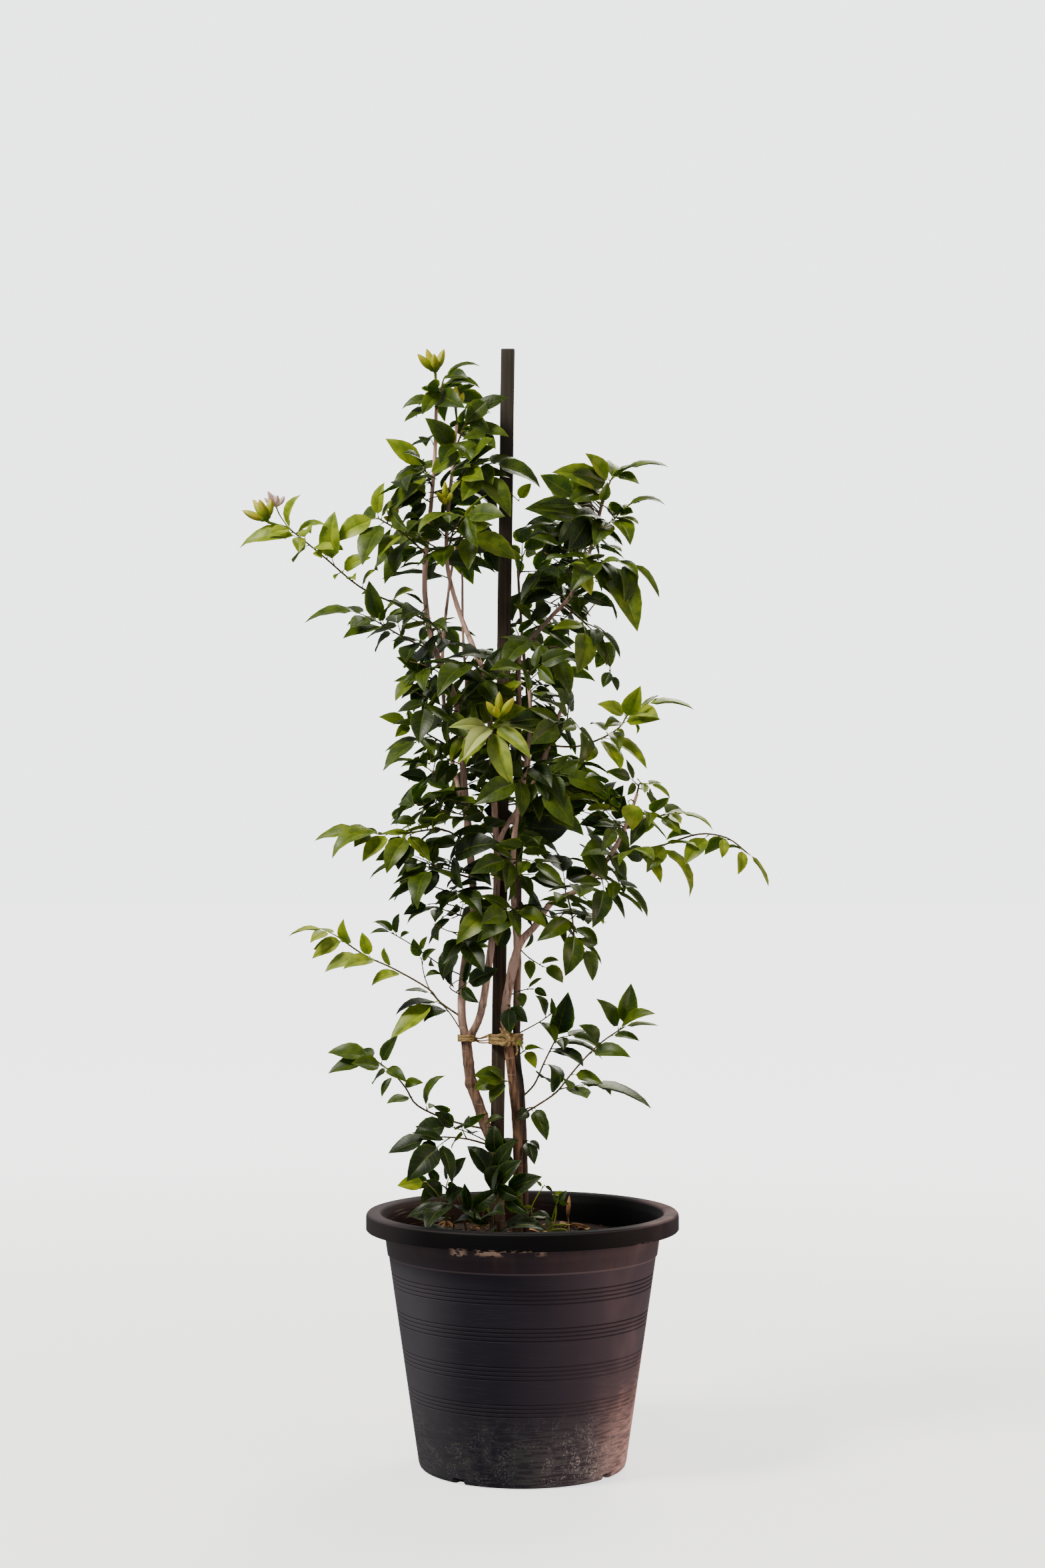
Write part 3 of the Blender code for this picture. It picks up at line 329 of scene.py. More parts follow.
pot_rings = [*FOOT_RINGS, (wall_radius(6), 6)]
mouth, bottom = GROOVE_HALF_WIDTHS
for groove in GROOVES:
    for offset, depth in ((-mouth, 0), (-bottom, GROOVE_DEPTH), (bottom, GROOVE_DEPTH), (mouth, 0)):
        pot_rings.append((wall_radius(groove + offset, depth), groove + offset))
for height, inset in ((LEDGE_HEIGHT, 0), (LEDGE_HEIGHT + LEDGE_DEPTH, -LEDGE_DEPTH), (244, -1.0), (254, 0)):
    pot_rings.append((wall_radius(height, inset), height))
pot_rings += RIM_RINGS
pot_rings += [(wall_radius(height, WALL), height) for height in INSIDE_HEIGHTS]
pot_rings += FLOOR_RINGS
pot = turned_body(pot_rings, POT_SIDES)
wide, deep, high = DRAIN_SIZE
for notch in range(DRAIN_NOTCHES):
    turn = DRAIN_TURN + 2 * math.pi * notch / DRAIN_NOTCHES
    spot = (BASE_RADIUS * MM * math.cos(turn), BASE_RADIUS * MM * math.sin(turn), 0)
    bpy.ops.mesh.primitive_cube_add(size=MM, location=spot, rotation=(0, 0, turn))
    cutter = bpy.context.object
    cutter.scale = (deep * 2, wide, high * 2)
    cut = pot.modifiers.new("drain notch", "BOOLEAN")
    cut.operation = "DIFFERENCE"
    cut.object = cutter
    apply_all(pot)
    bpy.data.objects.remove(cutter)

plastic = Paint("weathered pot plastic", {"Specular IOR Level": 0.1})
x, y, z = plastic.split(plastic.place())
cloudy = plastic.noise(9, detail=5)
mist = plastic.noise(17, stretch=(1, 1, 0.7), detail=6)
scratches = plastic.noise(34, stretch=(1, 1, 42), detail=4)
powder = plastic.noise(210, stretch=(1, 1, 1.5), detail=6)
drips = plastic.noise(60, stretch=(1, 1, 0.07), detail=5)
speckle = plastic.noise(560, detail=3)
blotches = plastic.noise(80, detail=6)
lined = plastic.band(plastic.noise(52, stretch=(1, 1, 9), detail=4), 0.36, 0.62)
ragged = plastic.band(plastic.noise(150, stretch=(1, 1, 2.2), detail=6), 0.46, 0.54)
# A mask for painted light from the right: the wall, its scratches, its chalk, the ledge highlight and the
# groove shade are painted paler or stronger towards the right.
right = plastic.band(x, -0.03, 0.11)
# A mask for painted light along the pot's right edge.
right_edge_light = plastic.band(x, 0.062, 0.116)
# The wall: dark and purplish, paler grey towards its left edge, paler and pinker towards the right as
# painted light, rusty and rubbed between the ledge and rim, with painted light just under the rim and a
# painted highlight along the ledge.
band_top = plastic.band(z, 0.2165, 0.2185)
# Painted light: the band just under the rim is painted paler, to lift the shadow that the rim casts on it.
painted_light_under_rim = plastic.within(z, 0.2295, 0.2425, 0.0025)
# Painted highlight: a pale pinkish line along the ledge, stronger on the right.
ledge_highlight = plastic.within(z, 0.2158, 0.2176, 0.0004)
tint = plastic.coats(
    plastic.mix(right, (0.021, 0.0175, 0.026), (0.092, 0.066, 0.08)),
    (plastic.band(x, -0.05, -0.115) * 0.8, (0.086, 0.077, 0.087)),
    (plastic.band(cloudy, 0.42, 0.72) * 0.4, (0.041, 0.031, 0.045)),
    (plastic.band(scratches, 0.55, 0.72) * (0.2 + 0.2 * right), (0.1, 0.077, 0.09)),
    (band_top * (0.2 + 0.25 * plastic.band(drips, 0.4, 0.62)), (0.08, 0.042, 0.038)),
    (band_top * plastic.band(drips, 0.62, 0.72) * 0.3, (0.15, 0.075, 0.053)),
    (painted_light_under_rim * 0.22, plastic.mix(plastic.band(drips, 0.4, 0.6), (0.085, 0.06, 0.06), (0.14, 0.09, 0.085))),
    (ledge_highlight * (0.5 + 0.35 * right), (0.22, 0.15, 0.15)),
)
# Low down: clouds of chalk, paler on the right as painted light, flecks of lime, and painted warm pinkish
# light low at the right edge.
low_down = 1 - plastic.band(z + (cloudy - 0.5) * 0.09, 0.026, 0.092)
chalk = low_down * plastic.band(0.5 * mist + 0.3 * powder + 0.2 * lined, 0.4, 0.6)
lime = low_down * plastic.band(speckle, 0.5, 0.62) * plastic.band(blotches, 0.44, 0.58)
# Painted light: a warm pinkish glow low on the right edge.
warm_light_low_right = right_edge_light * (1 - plastic.band(z + (mist - 0.5) * 0.16, 0.03, 0.13))
tint = plastic.coats(
    tint,
    (chalk * 0.75, plastic.mix(right, (0.044, 0.047, 0.046), (0.27, 0.22, 0.21))),
    (low_down * plastic.band(drips, 0.54, 0.68) * 0.2, (0.085, 0.078, 0.076)),
    (lime * (0.12 + 0.7 * plastic.band(x, 0.0, 0.065)), (0.5, 0.44, 0.41)),
    (warm_light_low_right * (0.3 + 0.7 * lined), (0.86, 0.49, 0.41)),
    # Painted light: more pinkish light up the right edge.
    (right_edge_light * plastic.band(mist, 0.45, 0.7) * 0.45, (0.23, 0.145, 0.145)),
)
# Painted shade lies dark in the grooves, more on the right and higher up. The rim is nearly black, and
# paler towards its ends as a painted highlight, on its front and on top, where it is pinkish at the right.
grooved = 0
for groove in GROOVES:
    grooved = grooved + plastic.within(z, (groove - 0.6) * MM, (groove + 0.6) * MM, 0.4 * MM)
# How strongly the painted shade in the grooves shows.
groove_shade_share = (0.3 + 0.4 * right) * (0.35 + 0.65 * plastic.band(z, 0.1, 0.16))
rim = plastic.band(z, 0.2415, 0.2425) * (1 - plastic.band(z, 0.2572, 0.2592))
# Painted highlight: the rim is paler towards its left and right ends, on its front and on top.
sides = plastic.band(abs(x), 0.09, 0.15)
top_face = plastic.band(z, 0.2572, 0.2594)
tint = plastic.coats(
    tint,
    (grooved * groove_shade_share, (0.007, 0.0055, 0.007)),
    (rim * (0.97 - 0.3 * sides), (0.0018, 0.0016, 0.0018)),
    (top_face, (0.0062, 0.0056, 0.007)),
    (top_face * 0.8 * sides, (0.08, 0.062, 0.07)),
)
# The inside is painted near black as painted shade, brownish on the left, with pale root fibres stuck to it
# there.
reach = plastic.reach(plastic.node("ShaderNodeCombineXYZ", sockets={"X": x, "Y": y}))
wall_inside = 1 - plastic.band(reach - z * WALL_SLOPE, (BASE_RADIUS - 2) * MM, (BASE_RADIUS - 1) * MM)
lip_inside = (1 - plastic.band(reach, 0.1436, 0.1446)) * plastic.band(z, 0.2515, 0.2525)
fibres = plastic.band(plastic.noise(26, stretch=(1, 1, 26), detail=5), 0.6, 0.66)
shaded_inside = plastic.coats(
    plastic.mix(1 - plastic.band(x, -0.02, 0.06), (0.0022, 0.0019, 0.002), (0.017, 0.0058, 0.0044)),
    (fibres * 0.7 * (1 - plastic.band(x, -0.03, 0.05)), (0.14, 0.1, 0.085)),
)
scuffed = 0
for start, end, low, high, share in SCUFFS:
    scuffed = scuffed + plastic.within(x, start, end, 0.004) * plastic.within(z, low, high, 0.002) * share
front = 1 - plastic.band(y, -0.12, -0.08)
tint = plastic.coats(
    tint,
    (wall_inside * plastic.band(z, 0.226, 0.2275) + lip_inside, shaded_inside),
    # Painted highlight: a pinkish patch on the rim's top at the right.
    (top_face * plastic.band(x, 0.1, 0.15) * plastic.band(mist, 0.4, 0.6), (0.16, 0.1, 0.1)),
    (scuffed * front * ragged, (0.78, 0.5, 0.36)),
)
pot_paint = plastic.show(
    base_color=tint,
    roughness=0.47 + 0.2 * chalk + 0.15 * scratches + 0.3 * grooved,
    normal=plastic.bump(scratches * 0.5 + blotches * 0.35 + speckle * 0.15, 0.0005, 0.7),
)
finish_piece(pot, "nursery_pot", pot_paint, angle=28)
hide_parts("pot")


# Potting soil fills the pot to just below its rim: dark, damp and crumbly, with bits of bark,
# straw and stalk worked to its top.
SOIL_HEIGHT = 232.0
SOIL_UNEVENNESS = 2.0
SOIL_EDGE = SOIL_HEIGHT - SOIL_UNEVENNESS
SOIL_INSET = 3.7  # from the pot's outer face
SOIL_SIDES = 110
SOIL_REACH = 128  # the outermost that anything lies on it
CRUMBS = 420
CRUMB_REACH = 126
STRAWS = 26
STRAW_REACH = 118
STEMS_CENTRE = (-15, -8)
STEMS_REACH = 24


def soil_ground(x, y):
    """The height of the soil's uneven top."""
    return SOIL_HEIGHT + SOIL_UNEVENNESS * math.sin(x / 23) * math.cos(y / 19 + 1)


soil_rings = [(80, 3.3), (wall_radius(3.3, SOIL_INSET) - 1, 3.3)]
soil_rings += [(wall_radius(height, SOIL_INSET), height) for height in (20, 120, 200, SOIL_EDGE)]
soil_rings += [(radius, SOIL_EDGE) for radius in range(132, 3, -4)]
soil = turned_body(soil_rings, SOIL_SIDES)
for vertex in soil.data.vertices:
    spot = vertex.co / MM
    if spot.z > SOIL_EDGE - 0.5:
        grain = noise.noise(spot / 9) * 1.6 + noise.noise(spot / 3.5) * 0.9
        fade = min(1.0, (wall_radius(SOIL_EDGE, SOIL_INSET) - math.hypot(spot.x, spot.y)) / 8)
        wish = soil_ground(spot.x, spot.y) - 1.2 + grain
        vertex.co.z = (SOIL_EDGE + (wish - SOIL_EDGE) * fade) * MM

earth = Paint("potting soil", {"Roughness": 0.92, "Specular IOR Level": 0.2})
grit = earth.noise(260, detail=4)
tint = earth.coats(
    earth.mix(earth.band(grit, 0.4, 0.68), (0.006, 0.0034, 0.0026), (0.028, 0.0125, 0.0072)),
    (earth.band(earth.noise(45, detail=3), 0.5, 0.7) * 0.6, (0.046, 0.0155, 0.008)),
)
soil_paint = earth.show(base_color=tint, normal=earth.bump(grit, 0.0016))
finish_piece(soil, "potting_soil", soil_paint, angle=60)
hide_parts("soil")
soil_tree = BVHTree.FromObject(soil, bpy.context.evaluated_depsgraph_get())


def on_soil(x, y):
    """The soil's surface at a place given in millimetres, in metres."""
    return soil_tree.ray_cast(Vector((x * MM, y * MM, 0.4)), Vector((0, 0, -1)))[0]


def join(pieces):
    """Joins mesh objects in one and returns it."""
    bpy.ops.object.select_all(action="DESELECT")
    for piece in pieces:
        piece.select_set(True)
    bpy.context.view_layer.objects.active = pieces[0]
    bpy.ops.object.join()
    return pieces[0]


def copy_of(pattern):
    """A copy of an object, with its own mesh."""
    made = pattern.copy()
    made.data = pattern.data.copy()
    bpy.context.scene.collection.objects.link(made)
    return made


def scatter_spot(draw, reach):
    """A random place on the soil, evenly spread, clear of the stems."""
    while True:
        radius, turn = reach * math.sqrt(draw.random()), draw.uniform(0, 2 * math.pi)
        x, y = radius * math.cos(turn), radius * math.sin(turn)
        if math.hypot(x - STEMS_CENTRE[0], y - STEMS_CENTRE[1]) > STEMS_REACH:
            return x, y


draw = random.Random(11)
bpy.ops.mesh.primitive_ico_sphere_add(subdivisions=1, radius=1)
crumb = bpy.context.object
crumbs = []
for _ in range(CRUMBS):
    x, y = scatter_spot(draw, CRUMB_REACH)
    size = draw.uniform(0.9, 2.8) * MM
    made = copy_of(crumb)
    turn = Matrix.Rotation(draw.uniform(0, 6.3), 4, "Z") @ Matrix.Rotation(draw.uniform(-0.5, 0.5), 4, "X")
    shape = Matrix.Diagonal((size * draw.uniform(1, 2.2), size, size * draw.uniform(0.45, 0.9), 1))
    made.data.transform(Matrix.Translation(on_soil(x, y)) @ turn @ shape)
    crumbs.append(made)
bpy.data.objects.remove(crumb)
chips = Paint("bark crumbs", {"Roughness": 0.9, "Specular IOR Level": 0.2})
fleck = chips.noise(160, detail=2)
tint = chips.coats(
    chips.mix(chips.band(fleck, 0.35, 0.62), (0.01, 0.0055, 0.0036), (0.075, 0.026, 0.012)),
    (chips.band(fleck, 0.63, 0.7), (0.34, 0.14, 0.062)),
)
crumb_paint = chips.show(base_color=tint, normal=chips.bump(chips.noise(900, detail=2), 0.0004))
finish_piece(join(crumbs), "soil_crumbs", crumb_paint, angle=20)


def new_piece(name, points, faces):
    """A mesh object from points in metres and faces."""
    mesh = bpy.data.meshes.new(name)
    mesh.from_pydata(points, [], faces)
    made = bpy.data.objects.new(name, mesh)
    bpy.context.scene.collection.objects.link(made)
    return made


def closed_strip(count, size, ring_closed=False):
    """The faces between rings of points, each of this size, with the first and last ring capped
    or, where the strip is a ring, joined."""
    faces = []
    for ring in range(count if ring_closed else count - 1):
        low, high = ring * size, (ring + 1) % count * size
        faces += [(low + s, low + (s + 1) % size, high + (s + 1) % size, high + s) for s in range(size)]
    if not ring_closed:
        faces.append(tuple(reversed(range(size))))
        faces.append(tuple(range((count - 1) * size, count * size)))
    return faces


def rod_parts(route, sides, grow=0.0):
    """Points, in millimetres, and faces of a closed rod along (x, y, z, radius) points. It is
    made larger all round by grow."""
    centres = [Vector(p[:3]) for p in route]
    ways = [(b - a).normalized() for a, b in zip(centres, centres[1:])]
    tangents = [ways[0]] + [(a + b).normalized() for a, b in zip(ways, ways[1:])] + [ways[-1]]
    centres[0] = centres[0] - tangents[0] * grow
    centres[-1] = centres[-1] + tangents[-1] * grow
    across = tangents[0].orthogonal().normalized()
    points = []
    for centre, tangent, row in zip(centres, tangents, route):
        across = (across - tangent * across.dot(tangent)).normalized()
        beside = tangent.cross(across)
        for side in range(sides):
            turn = 2 * math.pi * side / sides
            points.append(centre + (across * math.cos(turn) + beside * math.sin(turn)) * (row[3] + grow))
    return points, closed_strip(len(route), sides)


def rod(name, route, sides):
    """A mesh rod along (x, y, z, radius) points in millimetres."""
    points, faces = rod_parts(route, sides)
    return new_piece(name, [p * MM for p in points], faces)


def curve_through(rows, steps):
    """Points on a smooth curve through all the rows but the first and last."""
    made = []
    for a, b, c, d in zip(rows, rows[1:], rows[2:], rows[3:]):
        second, third = 2 * a - 5 * b + 4 * c - d, 3 * b - a - 3 * c + d
        for t in (step / steps for step in range(steps)):
            made.append(tuple(0.5 * (2 * b + (c - a) * t + second * t ** 2 + third * t ** 3)))
    return made


def smooth_route(route, steps):
    """More points along a route, on a smooth curve through the given ones."""
    return curve_through([Vector(p) for p in (route[0], *route, route[-1])], steps) + [tuple(route[-1])]


straws = []
for _ in range(STRAWS):
    x, y = scatter_spot(draw, STRAW_REACH)
    length, turn, lift = draw.uniform(12, 38), draw.uniform(0, 6.3), draw.uniform(0, 3.5)
    radius = draw.uniform(0.35, 0.8)
    route = []
    for step in range(5):
        reach = (step / 4 - 0.5) * length
        bow = draw.uniform(-1.6, 1.6)
        px = x + reach * math.cos(turn) - bow * math.sin(turn)
        py = y + reach * math.sin(turn) + bow * math.cos(turn)
        px, py = (v * min(1.0, SOIL_REACH / math.hypot(px, py)) for v in (px, py))
        route.append((px, py, on_soil(px, py).z / MM + radius + lift * step / 4, radius))
    straws.append(rod("straw", smooth_route(route, 2), 5))
dead = Paint("dead stalks", {"Roughness": 0.85, "Specular IOR Level": 0.25})
tint = dead.mix(dead.band(dead.noise(60), 0.4, 0.6), (0.12, 0.052, 0.02), (0.4, 0.21, 0.09))
straw_paint = dead.show(base_color=tint, normal=dead.bump(dead.noise(700), 0.0003))
finish_piece(join(straws), "dead_stalks", straw_paint, angle=60)


# The stake: a sawn square stick, weathered dark grey-brown, with fine grain, small checks and
# worn corners. It leans very slightly and stands in the soil.
STAKE_WIDTH = 14.0
STAKE_CORNER = 1.1
STAKE_TOP = (-15.0, 0.0, 1141.0)
STAKE_LEAN = 0.0132  # sideways shift for each millimetre of height
HOLE_DEPTH = 32.0  # how deep it and the stems go into the soil
STAKE_LENGTHS = 60
stake_low = SOIL_HEIGHT - HOLE_DEPTH
stake_length = STAKE_TOP[2] - stake_low
bpy.ops.object.select_all(action="DESELECT")
bpy.ops.mesh.primitive_cube_add(size=1, location=(0, 0, 0))
stake = bpy.context.object
stake.scale = (STAKE_WIDTH * MM, STAKE_WIDTH * MM, stake_length * MM)
stake.location = (0, 0, (STAKE_TOP[2] + stake_low) / 2 * MM)
bpy.ops.object.transform_apply(location=True, rotation=True, scale=True)
edit_all(stake, bpy.ops.mesh.bevel, offset=STAKE_CORNER * MM, segments=2, affect="EDGES")
for cut in range(1, STAKE_LENGTHS):
    height = (stake_low + stake_length * cut / STAKE_LENGTHS) * MM
    edit_all(stake, bpy.ops.mesh.bisect, plane_co=(0, 0, height), plane_no=(0, 0, 1))
for vertex in stake.data.vertices:
    height = vertex.co.z / MM
    wander = noise.noise(Vector((0.3, 0.7, height / 60))) * 0.3
    vertex.co.x += (STAKE_TOP[0] - STAKE_LEAN * (STAKE_TOP[2] - height) + wander) * MM
    vertex.co.y *= 1 - 0.03 * abs(noise.noise(vertex.co * 60))

sawn = Paint("weathered stake wood", {"Roughness": 0.78, "Specular IOR Level": 0.3})
grain = sawn.noise(420, stretch=(1, 1, 0.025), detail=5)
broad = sawn.noise(55, stretch=(1, 1, 0.08), detail=3)
_, _, z = sawn.split(sawn.place())
tint = sawn.coats(
    sawn.mix(sawn.band(grain, 0.35, 0.66), (0.026, 0.019, 0.014), (0.095, 0.067, 0.048)),
    (sawn.band(broad, 0.5, 0.7) * 0.55, (0.11, 0.088, 0.066)),
    ((1 - sawn.band(z, 0.9, 1.02)) * 0.35, (0.06, 0.035, 0.014)),
    (sawn.band(z, 0.95, 1.05) * 0.75, (0.026, 0.022, 0.016)),
)
stake_paint = sawn.show(base_color=tint, normal=sawn.bump(grain, 0.0009))
finish_piece(stake, "stake_wood", stake_paint, angle=40)
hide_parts("stake")


# The woody stems: tan to grey-brown bark with fine lengthwise cracks, swollen forks and old
# leaf scars. The left one forks above the tie, the centre one bends out to the right, and the
# thin dark one runs up beside the stake. Branch points are (x, y, z, radius).
BRANCHES = {
    "left_trunk": (
        (-22, -18, 200, 6.5), (-26, -19, 298, 6.2), (-31, -18, 332, 6.0), (-39, -17, 352, 5.9),
        (-45, -15, 371, 5.8), (-52, -12, 391, 5.7), (-56, -9, 420, 5.6), (-58, -8, 441, 5.2),
    ),
    "left_high": (
        (-57, -8, 433, 4.4), (-62, -6, 460, 4.4), (-61, -2, 495, 4.3), (-56, 0, 534, 4.2),
        (-50, 2, 573, 4.0), (-54, 5, 630, 3.8), (-60, 6, 700, 3.6), (-66, 4, 770, 3.3),
        (-80, 0, 812, 3.1), (-92, 0, 840, 3.0), (-99, 3, 880, 2.8), (-100, 4, 920, 2.6),
        (-95, 4, 970, 2.3), (-90, 2, 1030, 2.0), (-88, 0, 1090, 1.7),
    ),
    "left_inner": (
        (-57, -8, 433, 4.2), (-44, -11, 458, 4.0), (-36, -14, 500, 3.8), (-30, -16, 550, 3.7),
        (-26, -16, 606, 3.5), (-29, -14, 680, 3.2), (-36, -13, 793, 2.9), (-48, -12, 830, 2.7),
        (-64, -9, 870, 2.5), (-76, -7, 915, 2.2), (-77, -9, 960, 2.0), (-71, -11, 1020, 1.7),
        (-67, -12, 1062, 1.5),
    ),
    "left_thin": (
        (-66, 4, 765, 1.8), (-58, 11, 795, 1.6), (-61, 12, 845, 1.4), (-62, 12, 915, 1.2),
    ),
    "left_back": (
        (-57, 5, 660, 2.6), (-68, 30, 700, 2.3), (-80, 54, 760, 2.1), (-84, 66, 830, 1.8),
        (-78, 72, 900, 1.5), (-70, 74, 950, 1.3),
    ),
    "cross": (
        (-27, -15, 628, 2.8), (-18, -18, 650, 2.6), (-1, -20, 676, 2.5), (16, -22, 706, 2.3),
        (30, -24, 745, 2.1), (42, -26, 780, 1.8),
    ),
    "centre": (
        (-5, -12, 200, 5.4), (-5, -12, 330, 5.0), (-9, -13, 384, 4.9), (-15, -15, 435, 4.8),
        (-17, -15, 466, 4.7), (-14, -15, 488, 4.6), (-4, -15, 531, 4.2), (13, -16, 552, 3.5),
        (30, -18, 576, 3.2), (52, -21, 586, 3.0), (69, -24, 600, 2.8), (88, -27, 622, 2.5),
        (104, -30, 652, 2.1), (116, -32, 686, 1.7),
    ),
    "centre_high": (
        (-5, -15, 527, 3.4), (-8, -20, 562, 3.1), (-10, -25, 605, 2.9), (-7, -30, 655, 2.6),
        (2, -36, 705, 2.3), (8, -40, 760, 2.0), (5, -42, 810, 1.7),
    ),
    "right": (
        (3, 3, 200, 4.4), (1, 3, 320, 4.2), (-2, 3, 384, 4.1), (-6, 5, 425, 4.0),
        (-5, 6, 530, 3.8), (-4, 5, 640, 3.5), (-4, 4, 780, 3.0), (-3, 3, 830, 2.7),
        (12, 0, 848, 2.4), (30, -4, 868, 2.2), (50, -6, 890, 2.0), (66, -6, 925, 1.8),
        (78, -5, 970, 1.8), (86, -5, 1000, 1.7),
    ),
    "right_back": (
        (-4, 5, 610, 2.7), (0, 28, 650, 2.4), (6, 56, 712, 2.2), (6, 76, 782, 2.0),
        (0, 86, 850, 1.7), (-5, 89, 925, 1.4),
    ),
}
STEMS = {
    "stem_left": ("left_trunk", "left_high", "left_inner", "left_thin", "left_back", "cross"),
    "stem_centre": ("centre", "centre_high"),
    "stem_right": ("right", "right_back"),
}
BARK_SIDES = 12
BARK_UNEVENNESS = 0.3
KNOT_SWELLING = 0.45
COLLAR = 1.3  # how much thicker a branch is where it forks off
COLLAR_LENGTH = 14.0
# The bark of each stem: name, dark, light and scar colours, and how pinkish, and how much paler as painted
# light, it is above the tie.
BARKS = {
    "stem_left": ("tan bark", (0.07, 0.038, 0.026), (0.24, 0.135, 0.09), (0.4, 0.28, 0.2), 0.85),
    "stem_centre": ("orange bark", (0.085, 0.042, 0.024), (0.3, 0.16, 0.09), (0.42, 0.27, 0.17), 0.9),
    "stem_right": ("dark bark", (0.03, 0.021, 0.017), (0.105, 0.07, 0.052), (0.2, 0.14, 0.1), 0.32),
}


def limb(branch):
    """A smooth branch with uneven bark, as a closed tube."""
    route = smooth_route(BRANCHES[branch], 14)
    foot = Vector(route[0][:3])
    forked = branch not in ("left_trunk", "centre", "right")
    swollen = []
    for x, y, z, radius in route:
        away = (Vector((x, y, z)) - foot).length
        if forked:
            radius *= 1 + (COLLAR - 1) * max(0.0, 1 - away / COLLAR_LENGTH)
        knot = max(0.0, noise.noise(Vector((z / 11, x / 30, 4.0))) - 0.18)
        swollen.append((x, y, z, radius * (1 + KNOT_SWELLING * knot)))
    made = rod(branch, swollen, BARK_SIDES)
    for vertex, normal in zip(made.data.vertices, [v.normal.copy() for v in made.data.vertices]):
        spot = vertex.co / MM
        rough = noise.noise(Vector((spot.x / 2.2, spot.y / 2.2, spot.z / 9))) * BARK_UNEVENNESS
        vertex.co += normal * rough * MM
    return made


def unite(pieces):
    """One closed body from pieces that cross each other."""
    others = bpy.data.collections.new("others")
    bpy.context.scene.collection.children.link(others)
    for piece in pieces[1:]:
        bpy.context.scene.collection.objects.unlink(piece)
        others.objects.link(piece)
    union = pieces[0].modifiers.new("union", "BOOLEAN")
    union.operation = "UNION"
    union.solver = "MANIFOLD"
    union.operand_type = "COLLECTION"
    union.collection = others
    apply_all(pieces[0])
    for piece in pieces[1:]:
        bpy.data.objects.remove(piece)
    bpy.data.collections.remove(others)
    return pieces[0]


def bark_paint(name, dark, light, scar, pink_and_painted_light):
    """Bark between two tones, streaked along the stem, with pale scars across it. Above the tie
    it is younger, smoother and pinkish tan, and paler still as painted light, by the share
    pink_and_painted_light."""
    bark = Paint(name, {"Roughness": 0.78, "Specular IOR Level": 0.3})
    streak = bark.noise(330, stretch=(1, 1, 0.14), detail=5)
    patch = bark.noise(42, stretch=(1, 1, 0.5), detail=4)
    rings = bark.noise(90, stretch=(0.25, 0.25, 3.2), detail=3)
    _, _, z = bark.split(bark.place())
    tint = bark.coats(
        bark.mix(bark.band(streak, 0.36, 0.64), dark, light),
        (bark.band(patch, 0.48, 0.66) * 0.6, dark),
        (bark.band(rings, 0.62, 0.7) * 0.6, scar),
        ((1 - bark.band(z, 0.24, 0.33)) * 0.55, (0.035, 0.022, 0.016)),
        # Painted light: above the tie the bark turns pinkish tan, paler than its own colour so that it looks
        # sunlit.
        (bark.band(z, 0.43, 0.49) * bark.band(streak, 0.22, 0.5) * pink_and_painted_light, (0.88, 0.56, 0.44)),
    )
    return bark.show(base_color=tint, normal=bark.bump(streak * 0.7 + rings * 0.3, 0.0007))


for stem, branches in STEMS.items():
    wood = unite([limb(branch) for branch in branches])
    finish_piece(wood, stem.replace("stem_", "bark_"), bark_paint(*BARKS[stem]), angle=50)
    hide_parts(stem)


# The tie: flat raffia ribbons wound round the stake and the two stems beside it, knotted in
# front, with a string across to the left stem and a loop round that.
TIE_PLACES = (
    (-33.2, -8.8), (-33.2, 8.8), (-26, 12), (-6, 12.5), (-0.2, 8), (-0.8, -2), (-8, -19.5),
    (-15, -22), (-22, -19.5),
)
TIE_CENTRE = (-17, -5)
TIE_HEIGHTS = (431.6, 433.6, 435.6, 437.6, 439.8)
TIE_SAG = 0.03  # downwards, for each millimetre to the back
LOOP_CENTRE = (-57.0, -8.3)
LOOP_REACH = (8.8, 8.2)
LOOP_HEIGHTS = (434.6, 436.6, 438.8)
STRING_HEIGHTS = ((433, 435.4), (435.6, 436.4), (438.8, 438), (440.4, 437))
# A ribbon's half thickness and half width: of the turns, the loop, the strings, the knot and
# the loose ends.
TURN_RIBBON, LOOP_RIBBON, STRING_RIBBON = (0.55, 1.5), (0.5, 1.3), (0.35, 0.75)
KNOT_RIBBON, END_RIBBON = (0.9, 1.7), (0.35, 0.9)
KNOT = (
    ((-24, -19.5, 433), (-20, -24.5, 431.5), (-14, -26.5, 436), (-8, -24, 440.5), (-4, -17.5, 441)),
    ((-25, -19, 440), (-20, -23.5, 441.5), (-13, -27, 437), (-8, -24.5, 432.5), (-4, -17.5, 431.5)),
    ((-19, -21, 442), (-15.5, -26.5, 441.5), (-13, -28, 436.5), (-14, -26.5, 431.5), (-17, -21, 430)),
    ((-13, -21, 442), (-10, -25.5, 442), (-9, -27.2, 437), (-10, -26, 432), (-12, -21, 430)),
)
LOOSE_ENDS = (
    ((-17, -25.5, 440), (-20, -26, 443), (-21.5, -25.5, 446), (-23, -24.5, 448.5)),
    ((-16, -26, 440.5), (-18.5, -27, 444), (-18, -26.5, 447.5), (-16.5, -26, 450)),
    ((-9, -25, 433), (-6, -26, 430), (-5, -26.5, 425), (-6.5, -26, 421)),
)
RIBBON_SECTION = (
    (1, 0.0), (0.5, 0.8), (0, 1.0), (-0.8, 0.6), (-0.6, 0), (-0.8, -0.6), (0, -1.0), (0.5, -0.8),
)


